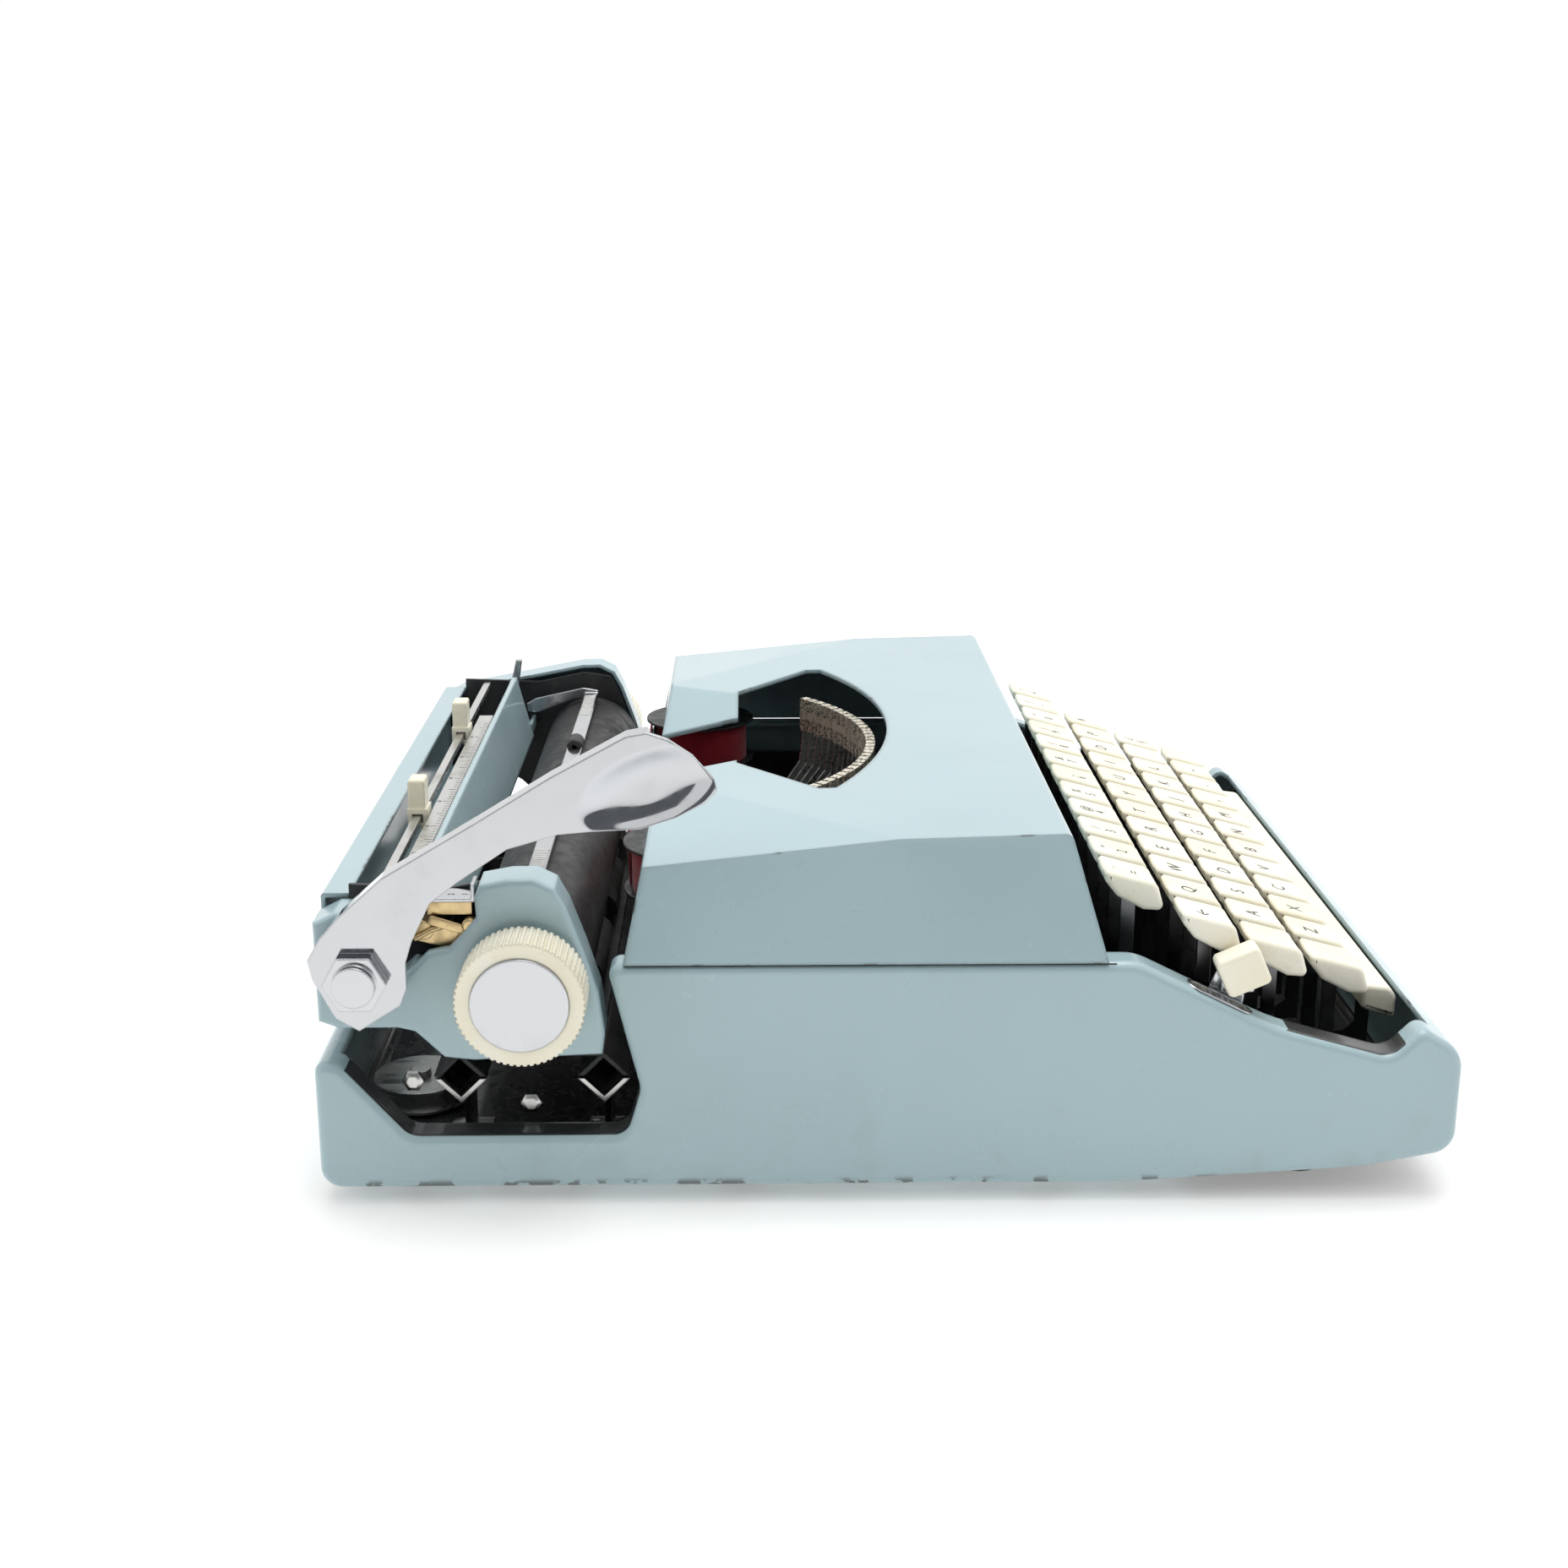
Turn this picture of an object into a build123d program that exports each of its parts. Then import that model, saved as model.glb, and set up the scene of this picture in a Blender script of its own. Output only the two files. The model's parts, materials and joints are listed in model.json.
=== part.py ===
"""A slim portable manual typewriter with a sheet-steel case, built as separate pieces.

Frame: +X to the typist's right, +Y to the rear, +Z up, origin under the middle of the case
on the surface that the rubber feet stand on. Millimetres and degrees.
"""
import os
from math import atan2, cos, degrees, hypot, radians, sin, sqrt

from build123d import *

os.makedirs("parts", exist_ok=True)

# ---- overall sizes -------------------------------------------------------
half_w = 133.0  # half the width of the case
front_y = -156.0
rear_y = 156.0
foot_h = 5.0
seam_z = 70.0  # where the ribbon cover sits on the case
wall = 1.6  # case sheet, with its enamel
rim = 9.0  # flange round the top of the case
edge_r = 2.5
clear = 0.4  # running gap between pieces that move past each other
fit = 0.05  # radial gap of a pin in its hole
floor_z = foot_h + wall

# ---- ribbon cover --------------------------------------------------------
hood_front_y = -58.0
hood_rear_y = 72.0
hood_t = 1.4
hood_top_front = (-48.0, 104.0)
hood_top_rear = (65.5, 101.0)
hood_corner_z = 96.0  # the rear corners are pulled down below the middle
hood_top_half = 125.0
crease_x = 60.0
neck_half = 28.0  # the slot that the type bars swing through
neck_top_half = 45.0
neck_rear_half = 57.0
neck_z = 90.0
neck_y = 42.0
fan_half = 75.0
fan_y = 18.0
fan_front_y = -6.0

# ---- keyboard ------------------------------------------------------------
key_pitch = 19.05
key_w = 15.6
row_dy = 19.92
row_dz = 8.93
key_x0 = -112.8  # left side of the first key of the number row
key_y0 = -59.4  # rear top edge of the number row
key_z0 = 89.4
row_keys = [12, 12, 12, 10]
row_shift = [0.0, -0.5, -0.25, 1.25]  # start of each row, in key pitches
key_travel = 10.0
lever_t = 1.0
lever_h = 4.4
shaft_y = 62.0
shaft_z = 46.0
shaft_r = 2.5
leg_w = 5.0
bar_z_rear = 10.5
bar_slope = 0.086  # rise of the key levers towards the typist
stem_w = 4.0
centre_key = 6  # the home-row key that works its own type bar
space_half = 99.0
space_top = 50.0
space_depth = 10.0
shift_depth = 17.6
frame_x = 118.0  # inner face of the side frames
frame_t = 2.0

# ---- type basket ---------------------------------------------------------
strike_y = 83.5
bar_n = 31
bar_step = 2.65  # degrees between neighbouring type bars
bar_pivot_r = 41.5
bar_pivot_z = 34.0
slug_r = 84.5
slug_z = 85.5
slug_h = 11.5
slug_t = 3.0
crank_z = 74.0
bar_t = 0.7
bar_w = 3.0
slug_w = 2.9
slot_w = 1.1
seg_in = 36.0
seg_out = 47.0
seg_z0 = 24.0
seg_top = 39.0
wire_r = 1.0

# ---- carriage ------------------------------------------------------------
platen_y = 98.0
platen_z = 65.0
platen_r = 17.0
platen_half = 117.5
core_r = 4.0
plate_x = 118.5  # inner face of the carriage end plates
plate_t = 1.5
cover_depth = 12.0
rail_y = [78.8, 118.7]
rail_z = 31.5
rail_half = 118.0
ball_r = 3.0
channel = 8.4  # inner side of the square that the two channels form
channel_t = 1.3
tray_z = 38.6
roller_r = 5.0
roller_dy = 12.0
knob_r = 17.2
knob_x = 134.5
knob_len = 13.0
cap_r = 12.9
margin_y = 137.7
margin_z = 87.0
lever_x = -140.0  # inner face of the return lever
lever_pivot = (141.0, 70.0)
spool_x = 72.0
spool_y = 56.0
spool_r = 19.0
spool_z = 71.0
spool_h = 15.0
ribbon_y = 76.8
ribbon_z = 57.0
ribbon_h = 13.0
ribbon_t = 0.4


def finish(piece, name):
    """Label a piece and write its STEP file."""
    piece.part.label = name
    export_step(piece.part, f"parts/{name}.step")


def side_plane(x):
    """A plane square to X, with its own x along +Y and its y along +Z."""
    return Plane(origin=(x, 0, 0), x_dir=(0, 1, 0), z_dir=(1, 0, 0))


def x_rod(x_low, x_high, y, z, radius, mode=Mode.ADD):
    """A round bar along X, in the active part."""
    with BuildSketch(side_plane(x_low)) as section:
        with Locations((y, z)):
            Circle(radius)
    extrude(section.sketch, amount=x_high - x_low, mode=mode)


def x_plate(x_low, x_high, points, mode=Mode.ADD):
    """A flat plate square to X, from its outline in (y, z), in the active part."""
    with BuildSketch(side_plane(x_low)) as section:
        with BuildLine():
            Polyline(*points, close=True)
        make_face()
    extrude(section.sketch, amount=x_high - x_low, mode=mode)


def box(low, high, mode=Mode.ADD):
    """A box between two corners, in the active part."""
    middle = tuple((a + b) / 2 for a, b in zip(low, high))
    with Locations(middle):
        Box(*[b - a for a, b in zip(low, high)], mode=mode)


# ==== case ================================================================
# the case from the side: each corner as (y, z), and its radius, negative where it is hollow
case_corners = [
    ((-64, foot_h), 100),
    ((-130, 9), 100),
    ((front_y, 14), 7),
    ((front_y, 43), 9),
    ((-144.5, 50.5), 3.2),
    ((-136, 42), -6),
    ((-104, 51), -60),
    ((-66, seam_z), 14),
    ((76.6, seam_z), 3.2),
    ((68, 34), -8),
    ((72, 20.6), -5),
    ((131, 20.6), -6),
    ((149, 41.5), 4),
    ((rear_y, 43), 3.2),
    ((rear_y, foot_h), 6),
]


def case_side(inset):
    """The case seen from the side, moved in by inset, in the active part's sketch."""
    with BuildLine() as outline:
        Polyline(*[corner for corner, radius in case_corners], close=True)
    make_face(outline.edges())
    if inset:
        offset(amount=-inset, kind=Kind.INTERSECTION, mode=Mode.REPLACE)
    for corner, radius in case_corners:
        nearest = vertices().sort_by_distance(corner)[0]
        fillet(nearest, abs(radius) - inset if radius > 0 else abs(radius) + inset)


with BuildPart() as lower_case:
    with BuildSketch(Plane.YZ):
        case_side(0)
    extrude(amount=half_w, both=True)
    fillet(lower_case.faces().filter_by(Axis.X).edges(), edge_r)
    with BuildSketch(Plane.YZ):
        case_side(wall)
    extrude(amount=half_w - wall, both=True, mode=Mode.SUBTRACT)
    box((rim - half_w, front_y + 8, 15), (half_w - rim, rear_y - 6, 90), Mode.SUBTRACT)
finish(lower_case, "lower_case")

foot_y = [-118.0, 134.0]
foot_x = 108.0
foot_r = 8.0
with BuildPart() as rubber_feet:
    with BuildSketch():
        with Locations(*[(x, foot_y[1]) for x in (-foot_x, foot_x)]):
            Circle(foot_r)
    extrude(amount=foot_h, taper=8)
    with BuildSketch():
        with Locations(*[(x, foot_y[0]) for x in (-foot_x, foot_x)]):
            Circle(foot_r)
    extrude(amount=foot_h + 3.2, taper=5)
    # the front feet stop at the sloping underside of the case
    with BuildSketch(Plane.YZ):
        with BuildLine():
            Polyline((-64, foot_h), (-130, 9), (-130, 20), (-64, 20), close=True)
        make_face()
    extrude(amount=half_w, both=True, mode=Mode.SUBTRACT)
finish(rubber_feet, "rubber_feet")


# ==== ribbon cover ========================================================
def hood_block(t):
    """The ribbon cover's outer form, moved inwards by t on its top, front and sides."""
    with BuildSketch(side_plane(-half_w + t)) as profile:
        with BuildLine():
            Polyline(
                (hood_front_y + t, seam_z),
                (hood_top_front[0] + t, hood_top_front[1] - t),
                (hood_top_rear[0], hood_top_rear[1] - t),
                (hood_rear_y, seam_z),
                close=True,
            )
        make_face()
    extrude(profile.sketch, amount=2 * (half_w - t))
    lean = degrees(atan2(half_w - hood_top_half, hood_top_front[1] - seam_z))
    for side in (-1, 1):
        # the side leans in towards the top
        side_cut = Plane(
            origin=(side * (half_w - t), 0, seam_z),
            x_dir=(0, 1, 0),
            z_dir=(side * cos(radians(lean)), 0, sin(radians(lean))),
        )
        with BuildSketch(side_cut) as outside:
            Rectangle(400, 200)
        extrude(outside.sketch, amount=60, mode=Mode.SUBTRACT)
        # the rear corner is pulled down along a crease
        crease_rear = Vector(side * crease_x, hood_top_rear[0], hood_top_rear[1] - t)
        crease_end = Vector(side * hood_top_half, 0, 102.6 - t)
        corner = Vector(side * hood_top_half, hood_top_rear[0], hood_corner_z - t)
        normal = (crease_end - crease_rear).cross(corner - crease_rear).normalized()
        if normal.Z < 0:
            normal = -normal
        facet = Plane(origin=crease_rear, x_dir=crease_end - crease_rear, z_dir=normal)
        with BuildSketch(facet) as above:
            Rectangle(400, 400)
        extrude(above.sketch, amount=60, mode=Mode.SUBTRACT)


def valley_block(side, t):
    """One side of the valley between the fan and the platen, moved outwards by t."""
    low = Vector(side * (neck_half + 1), hood_rear_y, neck_z)
    front = Vector(side * neck_top_half, neck_y, 102.5)
    rear = Vector(side * neck_rear_half, hood_top_rear[0], hood_top_rear[1])
    normal = (front - low).cross(rear - low).normalized()
    if normal.Z < 0:
        normal = -normal
    slope = Plane(origin=low - normal * t, x_dir=rear - front, z_dir=normal)
    low_x, high_x = sorted((0, side * (neck_rear_half + 6)))
    box((low_x, neck_y - t, neck_z - t), (high_x, hood_rear_y + 20, 120))
    split(bisect_by=slope, keep=Keep.TOP)


def fan_outline(grow):
    """The fan-shaped opening over the type basket, in the active sketch."""
    with BuildLine() as outline:
        a = (neck_top_half + grow, neck_y + grow)
        b = (fan_half + grow, fan_y + grow)
        c = (fan_half + grow, fan_y - 5)
        front = (0, fan_front_y - grow)
        Polyline((-a[0], a[1]), a, b, c)
        ThreePointArc(c, (41, -0.6 - grow * 0.8), front)
        ThreePointArc(front, (-41, -0.6 - grow * 0.8), (-c[0], c[1]))
        Polyline((-c[0], c[1]), (-b[0], b[1]), (-a[0], a[1]))
    make_face(outline.edges())


valleys = {}
for t in (0, hood_t):
    with BuildPart() as right_valley:
        valley_block(1, t)
    valleys[t] = right_valley.part

with BuildPart() as hood_inside:
    hood_block(hood_t)
    add(valleys[hood_t], mode=Mode.SUBTRACT)
    add(mirror(valleys[hood_t], about=Plane.YZ, mode=Mode.PRIVATE), mode=Mode.SUBTRACT)

with BuildPart() as ribbon_cover:
    hood_block(0)
    top_edges = ribbon_cover.edges().filter_by(Axis.X).group_by(Axis.Z)[-1]
    fillet(top_edges, edge_r)
    add(valleys[0], mode=Mode.SUBTRACT)
    add(mirror(valleys[0], about=Plane.YZ, mode=Mode.PRIVATE), mode=Mode.SUBTRACT)
    add(hood_inside.part, mode=Mode.SUBTRACT)
    # the rear is open, so that the ribbon can cross in front of the platen
    box((hood_t + 8 - half_w, 40, seam_z - 1), (half_w - hood_t - 8, 90, neck_z - 4), Mode.SUBTRACT)
    with BuildSketch(Plane.XY.offset(80)):
        fan_outline(0)
    extrude(amount=30, mode=Mode.SUBTRACT)
    box((-neck_half, neck_y - 1, 80), (neck_half, 90, 110), Mode.SUBTRACT)
finish(ribbon_cover, "ribbon_cover")

# ==== inner frame =========================================================
frame_outline = [
    (-60, floor_z),
    (-128, floor_z + 4.6),
    (-128, 18),
    (-60, 40),
    (-50, 60),
    (50, 60),
    (67, 54),
    (67, 22),
    (78, 17.5),
    (140, 17.5),
    (140, floor_z),
]
touch_pivot = (-90.0, 22.0)
touch_r = 2.0
with BuildPart() as side_frames:
    for x in (-frame_x - frame_t, frame_x):
        x_plate(x, x + frame_t, frame_outline)
        x_rod(x - 1, x + frame_t + 1, shaft_y, shaft_z, shaft_r + fit, Mode.SUBTRACT)
    x_rod(-frame_x - frame_t, -frame_x, *touch_pivot, touch_r + fit, Mode.SUBTRACT)
finish(side_frames, "side_frames")

with BuildPart() as key_shaft:
    x_rod(-frame_x - frame_t - 1.5, frame_x + frame_t + 1.5, shaft_y, shaft_z, shaft_r)
finish(key_shaft, "key_shaft")


def key_left(row, index):
    """The left side of a key."""
    return key_x0 + key_pitch * (row_shift[row] + index)


def lever_centre(row, index):
    """The middle of a key, where its lever is."""
    return key_left(row, index) + key_w / 2


left_shift_x = key_left(3, 0) - key_pitch + key_w / 2
right_shift_x = key_left(3, row_keys[3]) + key_w / 2
space_lever_x = [lever_centre(0, 1) + 2.4, lever_centre(0, 10) + 2.4]
comb_y = -59.0
comb_t = 1.5
comb_slot = lever_t + 2 * clear
lever_xs = [lever_centre(r, i) for r in range(4) for i in range(row_keys[r])]
lever_xs += [left_shift_x, right_shift_x] + space_lever_x
with BuildPart() as key_comb:
    box((-frame_x, comb_y - comb_t, floor_z), (frame_x, comb_y, 34))
    with BuildSketch(Plane.XZ.offset(-comb_y)):
        with Locations(*[(x, 34) for x in lever_xs]):
            Rectangle(comb_slot, 2 * (34 - floor_z - 2))
    extrude(amount=comb_t, mode=Mode.SUBTRACT)
finish(key_comb, "key_comb")


# ==== keys ================================================================
def cap_profile(depth=17.0):
    """A keytop from the side, from its rear top edge, as (y, z)."""
    return [
        (0, 0),
        (2.4 - depth, -3.9),
        (-depth, -12.0),
        (6.2 - depth, -11.5),
        (-3.6, -7.8),
        (-0.4, -3.6),
    ]


def keytop(x_left, y, z, width=key_w, depth=17.0):
    """One keytop in the active part; x_left, y and z are its rear top left corner."""
    with BuildSketch(side_plane(x_left)) as section:
        with BuildLine():
            Polyline(*[(y + p[0], z + p[1]) for p in cap_profile(depth)], close=True)
        make_face()
    extrude(section.sketch, amount=width)


def bar_z(y):
    """The middle of the key levers' height at a place along them."""
    return bar_z_rear + bar_slope * (shaft_y - y)


def key_lever(x, y_front, z_top, tail=0.0):
    """A cranked lever: hub on the shaft, leg down, bar forward and stem up to the keytop."""
    half = lever_h / 2
    y_leg = shaft_y - leg_w / 2
    with BuildSketch(side_plane(x - lever_t / 2)) as section:
        with BuildLine():
            Polyline(
                (shaft_y + leg_w / 2, shaft_z),
                (shaft_y + leg_w / 2, bar_z(shaft_y) - half),
                (y_front, bar_z(y_front) - half),
                (y_front, z_top),
                (y_front + stem_w, z_top),
                (y_front + stem_w, bar_z(y_front) + half + 2),
                (y_front + stem_w + 3, bar_z(y_front + 7) + half),
                (y_leg, bar_z(y_leg) + half),
                (y_leg, shaft_z),
                close=True,
            )
        make_face()
        with Locations((shaft_y, shaft_z)):
            Circle(shaft_r + 2.2)
        if tail:
            with Locations((shaft_y + leg_w / 2 + tail / 2 - 0.5, 28)):
                Rectangle(tail + 1, 6)
        with Locations((shaft_y, shaft_z)):
            Circle(shaft_r + fit, mode=Mode.SUBTRACT)
    extrude(section.sketch, amount=lever_t)


def cap_place(row, index):
    """The rear top left corner of a keytop."""
    return key_left(row, index), key_y0 - row * row_dy, key_z0 - row * row_dz


def stem_front(row):
    """The front of a row's stems, under the middle of the keytops."""
    return key_y0 - row * row_dy - 10.0


def stem_top(row):
    """The top of a row's stems, just under the keytops' upper skin."""
    return key_z0 - row * row_dz - 9.0


own_body = {(1, 0), (2, 0), (2, centre_key)}  # back space, shift lock and the centre key
for row in range(4):
    ours = [i for i in range(row_keys[row]) if (row, i) not in own_body]
    with BuildPart() as row_tops:
        for i in ours:
            keytop(*cap_place(row, i))
    finish(row_tops, f"keytops_row_{row + 1}")
    with BuildPart() as row_levers:
        for i in ours:
            key_lever(lever_centre(row, i), stem_front(row), stem_top(row))
        add(row_tops.part, mode=Mode.SUBTRACT)
    finish(row_levers, f"key_levers_row_{row + 1}")

for name, row, index in (
    ("backspace_key", 1, 0),
    ("shift_lock_key", 2, 0),
    ("centre_key", 2, centre_key),
):
    with BuildPart() as single:
        key_lever(lever_centre(row, index), stem_front(row), stem_top(row))
        keytop(*cap_place(row, index))
    finish(single, name)

shift_y = key_y0 - 3 * row_dy
shift_z = key_z0 - 3 * row_dz
with BuildPart() as shift_keys:
    for x in (left_shift_x, right_shift_x):
        keytop(x - key_w / 2, shift_y, shift_z, depth=shift_depth)
finish(shift_keys, "shift_keys")

tie_y = shaft_y + leg_w / 2 + 1.8
with BuildPart() as shift_levers:
    for x in (left_shift_x, right_shift_x):
        key_lever(x, stem_front(3), stem_top(3), tail=4.8)
    box((left_shift_x, tie_y, 26), (right_shift_x, tie_y + 2, 31))
    add(shift_keys.part, mode=Mode.SUBTRACT)
finish(shift_levers, "shift_levers")

space_rear = front_y + 8 + 0.7 + space_depth
with BuildPart() as space_bar:
    with BuildSketch(side_plane(-space_half)):
        with BuildLine():
            y0 = space_rear
            Polyline(
                (y0, space_top),
                (y0 - space_depth + 2, space_top - 1),
                (y0 - space_depth, space_top - 4),
                (y0 - space_depth, space_top - 10),
                (y0 - space_depth + 1.5, space_top - 10),
                (y0 - 1.5, space_top - 8),
                (y0, space_top - 7),
                close=True,
            )
        make_face()
    extrude(amount=2 * space_half)
finish(space_bar, "space_bar")

with BuildPart() as space_bar_levers:
    for x in space_lever_x:
        key_lever(x, space_rear - 7, space_top - 8)
    add(space_bar.part, mode=Mode.SUBTRACT)
finish(space_bar_levers, "space_bar_levers")

touch_x = clear - half_w + rim
touch_t = 0.6
with BuildPart() as touch_lever:
    x_plate(
        touch_x,
        touch_x + touch_t,
        [(-93, 16), (-87, 16), (-86, 57), (-88, 66), (-96, 66), (-97, 57)],
    )
    x_rod(touch_x, -frame_x, *touch_pivot, touch_r)
    box((touch_x - 8, -101, 59.5), (touch_x + touch_t, -89.5, 70))
finish(touch_lever, "touch_lever")


# ==== type basket =========================================================
def radial_plane(angle):
    """The plane that one type bar swings in: its x is the distance from the strike line."""
    a = radians(angle)
    return Plane(origin=(0, strike_y, 0), x_dir=(sin(a), -cos(a), 0), z_dir=(-cos(a), -sin(a), 0))


def type_bar(angle):
    """One cranked type bar at rest, with its slug upright, in the active part."""
    half = bar_w / 2
    crank_r = slug_r - 1.5
    with BuildSketch(radial_plane(angle)) as arm:
        with BuildLine():
            Polyline(
                (bar_pivot_r - half * 0.7, bar_pivot_z + half * 0.7),
                (crank_r - 1.4, crank_z + 1.0),
                (slug_r - 1.2, slug_z),
                (slug_r + 1.2, slug_z),
                (crank_r + 1.2, crank_z - 0.4),
                (bar_pivot_r + half * 0.7, bar_pivot_z - half * 0.7),
                close=True,
            )
        make_face()
        with Locations((bar_pivot_r, bar_pivot_z)):
            Circle(half + 0.9)
            Circle(wire_r + fit, mode=Mode.SUBTRACT)
    extrude(arm.sketch, amount=bar_t / 2, both=True)
    with BuildSketch(radial_plane(angle)) as slug:
        with Locations((slug_r, slug_z + slug_h / 2)):
            Rectangle(slug_t, slug_h)
    extrude(slug.sketch, amount=slug_w / 2, both=True)


middle_bar = bar_n // 2
fan = [(i - middle_bar) * bar_step for i in range(bar_n)]
with BuildPart() as typebars:
    for i, angle in enumerate(fan):
        if i != middle_bar:
            type_bar(angle)
finish(typebars, "typebars")

with BuildPart() as typebar_centre:
    type_bar(0)
finish(typebar_centre, "typebar_centre")

seg_span = fan[-1] + 5
strike_axis = Axis((0, strike_y, 0), (0, 0, 1))


def ring_piece(rho_in, rho_out, z_low, z_high, span):
    """Part of a ring round the strike line, in the active part."""
    with BuildSketch(radial_plane(span)) as section:
        with Locations(((rho_in + rho_out) / 2, (z_low + z_high) / 2)):
            Rectangle(rho_out - rho_in, z_high - z_low)
    revolve(section.sketch, axis=strike_axis, revolution_arc=-2 * span)


with BuildPart() as type_segment:
    ring_piece(seg_in, seg_out, seg_z0, seg_top, seg_span)
    for i, angle in enumerate(fan):
        width = bar_t + 2 * clear if i == middle_bar else slot_w
        with BuildSketch(radial_plane(angle)):
            with Locations(((seg_in + seg_out) / 2, (seg_z0 + 4 + 60) / 2)):
                Rectangle(seg_out - seg_in + 6, 60 - seg_z0 - 4)
        extrude(amount=width / 2, both=True, mode=Mode.SUBTRACT)
    with BuildSketch(radial_plane(seg_span - 1)):
        with Locations((bar_pivot_r, bar_pivot_z)):
            Circle(wire_r)
    revolve(axis=strike_axis, revolution_arc=-2 * (seg_span - 1))
    # feet that guide the segment between the side frames
    for side in (-1, 1):
        box((side * 60 - 30, 44, seg_z0), (side * 60 + 30, 48, seg_z0 + 4))
finish(type_segment, "type_segment")

with BuildPart() as typebar_rest:
    ring_piece(62, 68, 45, 51, seg_span)
    for side in (-1, 1):
        box((side * 47 - 3, 33, seg_z0 + 2), (side * 47 + 3, 38, 50))
        box((side * 47 - 3, 36, seg_z0 + 4), (side * 47 + 3, 46, seg_z0 + 7))
finish(typebar_rest, "typebar_rest")

# ==== ribbon ==============================================================
wound_r = spool_r - 2.5
run_y = spool_y + wound_r + 0.5
with BuildPart() as ribbon:
    for side in (-1, 1):
        x_out, x_turn, x_in = side * spool_x, side * (spool_x - spool_r - 2), side * 14
        low_z = spool_z + 1
        ends = sorted((x_out, x_turn))
        box((ends[0], run_y, low_z), (ends[1], run_y + ribbon_t, low_z + ribbon_h))
        with BuildSketch(side_plane(x_turn)):
            with Locations((run_y + ribbon_t / 2, low_z + ribbon_h / 2)):
                Rectangle(ribbon_t, ribbon_h)
        with BuildSketch(side_plane(x_in)):
            with Locations((ribbon_y + ribbon_t / 2, ribbon_z + ribbon_h / 2)):
                Rectangle(ribbon_t, ribbon_h)
        loft()
    box((-14, ribbon_y, ribbon_z), (14, ribbon_y + ribbon_t, ribbon_z + ribbon_h))
finish(ribbon, "ribbon")

spool_post_r = 3.0
for name, side in (("left", -1), ("right", 1)):
    with BuildPart() as spool:
        with Locations((side * spool_x, spool_y, spool_z)):
            base_at = (Align.CENTER, Align.CENTER, Align.MIN)
            Cylinder(spool_r, 0.8, align=base_at)
        with Locations((side * spool_x, spool_y, spool_z + 0.8)):
            Cylinder(wound_r, spool_h - 1.6, align=base_at)
        with Locations((side * spool_x, spool_y, spool_z + spool_h - 0.8)):
            Cylinder(spool_r, 0.8, align=base_at)
        with Locations((side * spool_x, spool_y, spool_z - 1)):
            Cylinder(spool_post_r + fit, spool_h + 2, align=base_at, mode=Mode.SUBTRACT)
    finish(spool, f"ribbon_spool_{name}")

with BuildPart() as spool_posts:
    for side in (-1, 1):
        base_at = (Align.CENTER, Align.CENTER, Align.MIN)
        with Locations((side * spool_x, spool_y, spool_z - 2.6)):
            Cylinder(spool_post_r, spool_h + 5, align=base_at)
        with Locations((side * spool_x, spool_y, spool_z - 2.6)):
            Cylinder(spool_r - 3, 2, align=base_at)
        # the cup's bracket runs out to the side frame
        low_x, high_x = sorted((side * spool_x, side * (frame_x + frame_t)))
        box((low_x, 48, spool_z - 3.8), (high_x, 56, spool_z - 2.6))
        low_x, high_x = sorted((side * frame_x, side * (frame_x + frame_t)))
        box((low_x, 46, 60), (high_x, 56, spool_z - 2.6))
finish(spool_posts, "spool_posts")

vib_half = 11.0
vib_lift = 9.0
vib_z = ribbon_z - vib_lift - 1.0  # the fork's cross piece stays under the ribbon when lifted
with BuildPart() as ribbon_vibrator:
    for y in (ribbon_y - clear - 0.6, ribbon_y + ribbon_t + clear):
        box((-vib_half, y, vib_z), (vib_half, y + 0.6, ribbon_z + ribbon_h - 1))
        box((-5, y - 0.1, ribbon_z + 3), (5, y + 0.8, ribbon_z + 30), Mode.SUBTRACT)
    y_rear = ribbon_y + ribbon_t + clear + 0.6
    box((-vib_half, ribbon_y - clear - 0.6, vib_z - 1), (vib_half, y_rear, vib_z))
finish(ribbon_vibrator, "ribbon_vibrator")

guide_y = ribbon_y - 3.2
guide_edge = 22.0
with BuildPart() as card_guide:
    for side in (-1, 1):
        with BuildSketch(Plane.XZ.offset(-guide_y)):
            with BuildLine():
                Polyline(
                    (side * 14, 50), (side * 14, 58), (side * 16, 66), (side * 16, 80),
                    (side * guide_edge, 80), (side * guide_edge, 50), close=True,
                )
            make_face()
        extrude(amount=-0.8)
        # the leg goes down in front of the carriage's channel to the fixed rail
        low_x, high_x = sorted((side * (guide_edge - 4), side * guide_edge))
        box((low_x, guide_y - 3.4, 43), (high_x, guide_y + 0.8, 44))
        box((low_x, guide_y - 3.4, 27), (high_x, guide_y - 2.2, 44))
    box((-guide_edge, guide_y, 43), (guide_edge, guide_y + 0.8, 50))
finish(card_guide, "card_guide")

# ==== rails ===============================================================
half_diag = channel / sqrt(2)
outer_diag = half_diag + channel_t * sqrt(2)


def channel_profile(y, z, up):
    """A right-angled channel, open upwards or downwards, as (y, z)."""
    gap = 0.5
    return [
        (y - outer_diag + gap, z + up * -gap),
        (y, z - up * outer_diag),
        (y + outer_diag - gap, z + up * -gap),
        (y + half_diag - gap, z + up * -gap),
        (y, z - up * half_diag),
        (y - half_diag + gap, z + up * -gap),
    ]


with BuildPart() as carriage_rails:
    for y in rail_y:
        x_plate(-rail_half, rail_half, channel_profile(y, rail_z, 1))
        # feet that hold the rail off the floor of the case
        for x in (-100, 0, 100):
            box((x - 6, y - 1, floor_z), (x + 6, y + 1, rail_z - half_diag - 1))
            box((x - 6, y - 6, floor_z), (x + 6, y + 6, floor_z + 1.5))
finish(carriage_rails, "carriage_rails")

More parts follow.
